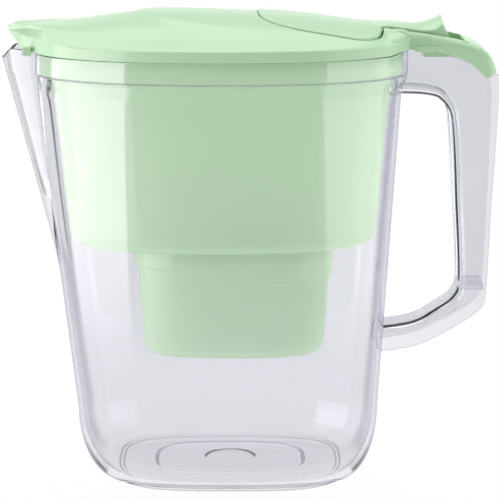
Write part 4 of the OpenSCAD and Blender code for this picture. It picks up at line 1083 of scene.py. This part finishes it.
cut(lid, rod("bearing", JUG_X + HINGE_X, HINGE_Z, PIN_RADIUS + PIN_GAP, WELL_HALF + 2.4))

# Mint ABS, polished mould: a clear gloss over a soft, slightly milky body
mint_abs, tree, shader = plastic("mint_ABS_polished_moulding", "B8DFB4",
    Roughness=0.24, IOR=1.53, Specular_IOR_Level=0.7, Subsurface_Weight=0.12,
    Subsurface_Scale=0.004)
flow_bump(tree, shader, 26, 0.02)
finished(lid, mint_abs)
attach(lid, "lid")
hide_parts("lid")

# ---------------------------------------------------------------------------------------------
# Fill flap: one glossy mint ABS moulding. It lies in the dome's recess and rocks on two pins, and
# a scooped thumb lever tips it open over the handle.
# ---------------------------------------------------------------------------------------------
flap_line = flap_outline(0.0)
flap_rings = [flap_ring(flap_line, s, -FLAP_THICKNESS, True) for s in shares]
# Rounded rim of the plate
flap_rings += [flap_ring(flap_line, 1, rise, True, pull) for rise, pull in (
    (-FLAP_THICKNESS, 0.6), (-FLAP_THICKNESS + 0.15, 0.18), (-FLAP_THICKNESS + 0.55, 0.0),
    (-0.8, 0.0), (-0.36, 0.16), (-0.1, 0.5), (0.0, 1.0))]
flap_rings += [flap_ring(flap_line, s, 0.0, True) for s in shares[::-1]]
flap = solid("fill_flap", flap_rings, strip=True)

# Lever, by sections from the hinge outward: place of its upper and lower face, height of its middle,
# fall toward its sides, and height of its underside
LEVER_LINE = curve([(-11, -11, 13.6, 0.3, 12.0), (-8.5, -8.5, 14.5, 0.6, 11.6),
    (-5.2, -5.2, 14.8, 0.9, 11.3), (-4.2, -4.2, 14.7, 0.9, 8.6), (-3, -3, 14.6, 1.0, 8.2),
    (3, 3, 14.2, 1.3, 9.4), (9, 9, 14, 2, 10.6),
    (14.4, 15.4, 14.9, 3.2, 10.1), (19, 21, 16.6, 4.2, 8.7),
    (LEVER_LENGTH - 4, LEVER_LENGTH, 18.6, 3.6, 7.2)], 4)
lever_rings = []
for above, below, top, fall, low in LEVER_LINE:
    half = LEVER_WIDTH / 2
    section = [(lerp(-half, half, k / 12), low, below) for k in range(13)]
    section += [(y, top - fall * abs(y / half) ** 2, above)
        for y in (lerp(half, -half, k / 16) for k in range(17))]
    lever_rings.append([(JUG_X + HINGE_X + x, y, RIM_HEIGHT + z) for y, z, x in section])
lever = bevelled(solid("lever", lever_rings), 0.8)
cut(flap, lever, "UNION")
cut(flap, rod("hub", JUG_X + HINGE_X, HINGE_Z, 3.2, WELL_HALF - 0.4), "UNION")
cut(flap, rod("pin", JUG_X + HINGE_X, HINGE_Z, PIN_RADIUS, WELL_HALF + 2.1), "UNION")
cut(flap, block("web", (JUG_X + HINGE_X - 4.9, -LEVER_WIDTH / 2 + 0.05, HINGE_Z - 0.6),
    (JUG_X + HINGE_X - 0.5, LEVER_WIDTH / 2 - 0.05, HINGE_Z + 2.2)), "UNION")
finished(flap, mint_abs)
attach(flap, "flap")
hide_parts("fill_flap")

# ---------------------------------------------------------------------------------------------
# Filter cartridge: a white polypropylene shell and cap round a bed of dark granules, with a soft
# sealing ring on the shell's collar. It drops into the funnel's cup.
# ---------------------------------------------------------------------------------------------
SHELL_GAP, SHELL_WALL = FUNNEL_WALL + 0.5, 1.6
SHELL_Z = CUP_Z + FUNNEL_WALL + 0.5
COLLAR_Z = STEP_HIGH + FUNNEL_WALL + 0.3
CAP_Z, CAP_TOP = COLLAR_Z + 3, TUB_FLOOR + 26
CARTRIDGE_POINTS = 120


def cartridge_ring(z, inset):
    narrow = CUP_TAPER * (1 - (z - CUP_Z) / (STEP_HIGH - CUP_Z))
    return cup_ring(z, -narrow, SHELL_GAP + inset, CARTRIDGE_POINTS)


def collar_ring(z, inset):
    return cup_ring(z, NECK_STEP, FUNNEL_WALL + 0.3 + inset, CARTRIDGE_POINTS)


w = SHELL_WALL
shell = from_pairs("cartridge_shell", [
    (cartridge_ring(SHELL_Z, 4), 0), (cartridge_ring(SHELL_Z + 1.4, 1.4), 1.0),
    (cartridge_ring(SHELL_Z + 4.5, 0), 1.5), (cartridge_ring(COLLAR_Z, 0), 0.2),
    (collar_ring(COLLAR_Z, 0), 0.3), (collar_ring(CAP_Z, 0), 0.4), (collar_ring(CAP_Z, 2.4 + w), 0.4),
    (cartridge_ring(COLLAR_Z - 0.2, w), 0.5), (cartridge_ring(SHELL_Z + 5, w), 1.5),
    (cartridge_ring(SHELL_Z + w + 0.8, 3.4), 0)])
slot_row(shell, OUTLET_SLOTS, CUP_A - 12, 2, CUP_B - 16, SHELL_Z - 1, SHELL_Z + w + 1)

CAP_LOW, CAP_INSET = CAP_Z + 2.5, 4.8
cap = from_pairs("cartridge_cap", [
    (collar_ring(CAP_LOW, CAP_INSET), 0), (collar_ring(CAP_LOW, 0.9), 0.4),
    (collar_ring(CAP_LOW + 1.9, 0.9), 0.6), (collar_ring(CAP_LOW + 3.9, 2.6), 1.2),
    (collar_ring(CAP_TOP - 6, 7.6), 2), (collar_ring(CAP_TOP - 2.6, 9.4), 2),
    (collar_ring(CAP_TOP - 0.8, 14), 3), (collar_ring(CAP_TOP, 22), 0)])
GRIP_HALF, GRIP_THICK = 12, 2.6
grip_line = [(JUG_X + CUP_SHIFT + side * GRIP_HALF + GRIP_THICK * math.cos(t), GRIP_THICK * math.sin(t))
    for side, start in ((1, -90), (-1, 90)) for t in (math.radians(start + 12 * k) for k in range(16))]
grip = bevelled(slab("grip", grip_line, CAP_TOP - 3, CAP_TOP + 5), 0.8)
cut(cap, grip, "UNION")
cut(cap, from_pairs("hollow", [(collar_ring(CAP_Z, CAP_INSET), 0),
    (collar_ring(CAP_LOW + 3.9, CAP_INSET), 1), (collar_ring(CAP_TOP - 7, 9.6), 1),
    (collar_ring(CAP_TOP - 4, 12), 1), (collar_ring(CAP_TOP - 2.6, 18), 0)]))
INLET_SLOTS, INLET_WIDTH = 7, 2.4
slot_row(cap, INLET_SLOTS, 0.65 * CUP_A, INLET_WIDTH, NECK_B, CAP_LOW + 5.9, CAP_TOP - 8)

# White polypropylene: slightly waxy, with a soft satin gloss
white_pp, tree, shader = plastic("white_polypropylene_satin", "E4E8E6", Roughness=0.38, IOR=1.49,
    Subsurface_Weight=0.15, Subsurface_Scale=0.003)
flow_bump(tree, shader, 12, 0.05)
for piece, node in ((shell, "cartridge_shell"), (cap, "cartridge_cap")):
    finished(piece, white_pp)
    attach(piece, "cartridge")
    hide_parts(node)

SEAL_LOW, SEAL_HIGH, SEAL_WIDTH = CAP_Z + 0.05, CAP_Z + 2.4, 4.4
seal = from_pairs("cartridge_seal", [(collar_ring(z, inset), r) for z, inset, r in ((SEAL_LOW, 2.4, 0),
    (SEAL_LOW, 0.3, 0.7), (SEAL_HIGH, 0.3, 0.7), (SEAL_HIGH, SEAL_WIDTH, 0.5),
    (SEAL_LOW, SEAL_WIDTH, 0.5), (SEAL_LOW, 3.2, 0))])
cut(seal, solid("bore", [collar_ring(z, SEAL_WIDTH) for z in (SEAL_LOW - 1, SEAL_HIGH + 1)]))

# Pale silicone rubber, moulded: soft, matt and a little translucent
silicone, tree, shader = plastic("pale_silicone_rubber", "BFC6C8", Roughness=0.55, IOR=1.41,
    Subsurface_Weight=0.3, Subsurface_Scale=0.002)
flow_bump(tree, shader, 4, 0.03)
finished(seal, silicone)
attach(seal, "cartridge")
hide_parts("cartridge_seal")

# Woven polyester screens over and under the bed: 0.4 mm threads, drawn 0.9 mm apart so they show.
# A wave texture's band is 1/20 of its scale
THREAD_MM = 0.9
mesh_cloth, tree, shader = plastic("woven_polyester_screen", "D9DDDA", Roughness=0.6)
where = add_node(tree, "ShaderNodeTexCoord")
tones = []
for axis in ("X", "Y"):
    wave = add_node(tree, "ShaderNodeTexWave", {"Vector": where.outputs["Object"],
        "Scale": 1000 / THREAD_MM / 20}, bands_direction=axis)
    tones.append(wave.outputs["Fac"])
weave = add_node(tree, "ShaderNodeMath", {0: tones[0], 1: tones[1]}, operation="MULTIPLY")
threads = stops(add_node(tree, "ShaderNodeValToRGB", {"Fac": weave.outputs[0]}),
    (0.1, "EEF0EE"), (0.6, "8E9592"))
tree.links.new(threads.outputs["Color"], shader.inputs["Base Color"])
bump = add_node(tree, "ShaderNodeBump", {"Height": weave.outputs[0], "Distance": 0.0003})
tree.links.new(bump.outputs["Normal"], shader.inputs["Normal"])

# Activated carbon with pale resin beads: 1 mm dark grains, dull, with a few light ones
carbon, tree, shader = plastic("carbon_and_resin_granules", "2E3033", Roughness=0.75)
where = add_node(tree, "ShaderNodeTexCoord")
grains = add_node(tree, "ShaderNodeTexVoronoi", {"Vector": where.outputs["Object"], "Scale": 900.0})
shade = stops(add_node(tree, "ShaderNodeValToRGB", {"Fac": grains.outputs["Color"]}),
    (0.0, "1D1F21"), (0.6, "3A3C3E"), (0.8, "4A4743"), (0.9, "B9A98A"))
tree.links.new(shade.outputs["Color"], shader.inputs["Base Color"])
bump = add_node(tree, "ShaderNodeBump", {"Height": grains.outputs["Distance"], "Distance": 0.0006})
tree.links.new(bump.outputs["Normal"], shader.inputs["Normal"])
for node, finish in (("inlet_screen", mesh_cloth), ("outlet_screen", mesh_cloth), ("filter_media", carbon)):
    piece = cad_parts[node]
    piece.data.materials.clear()
    piece.data.materials.append(finish)
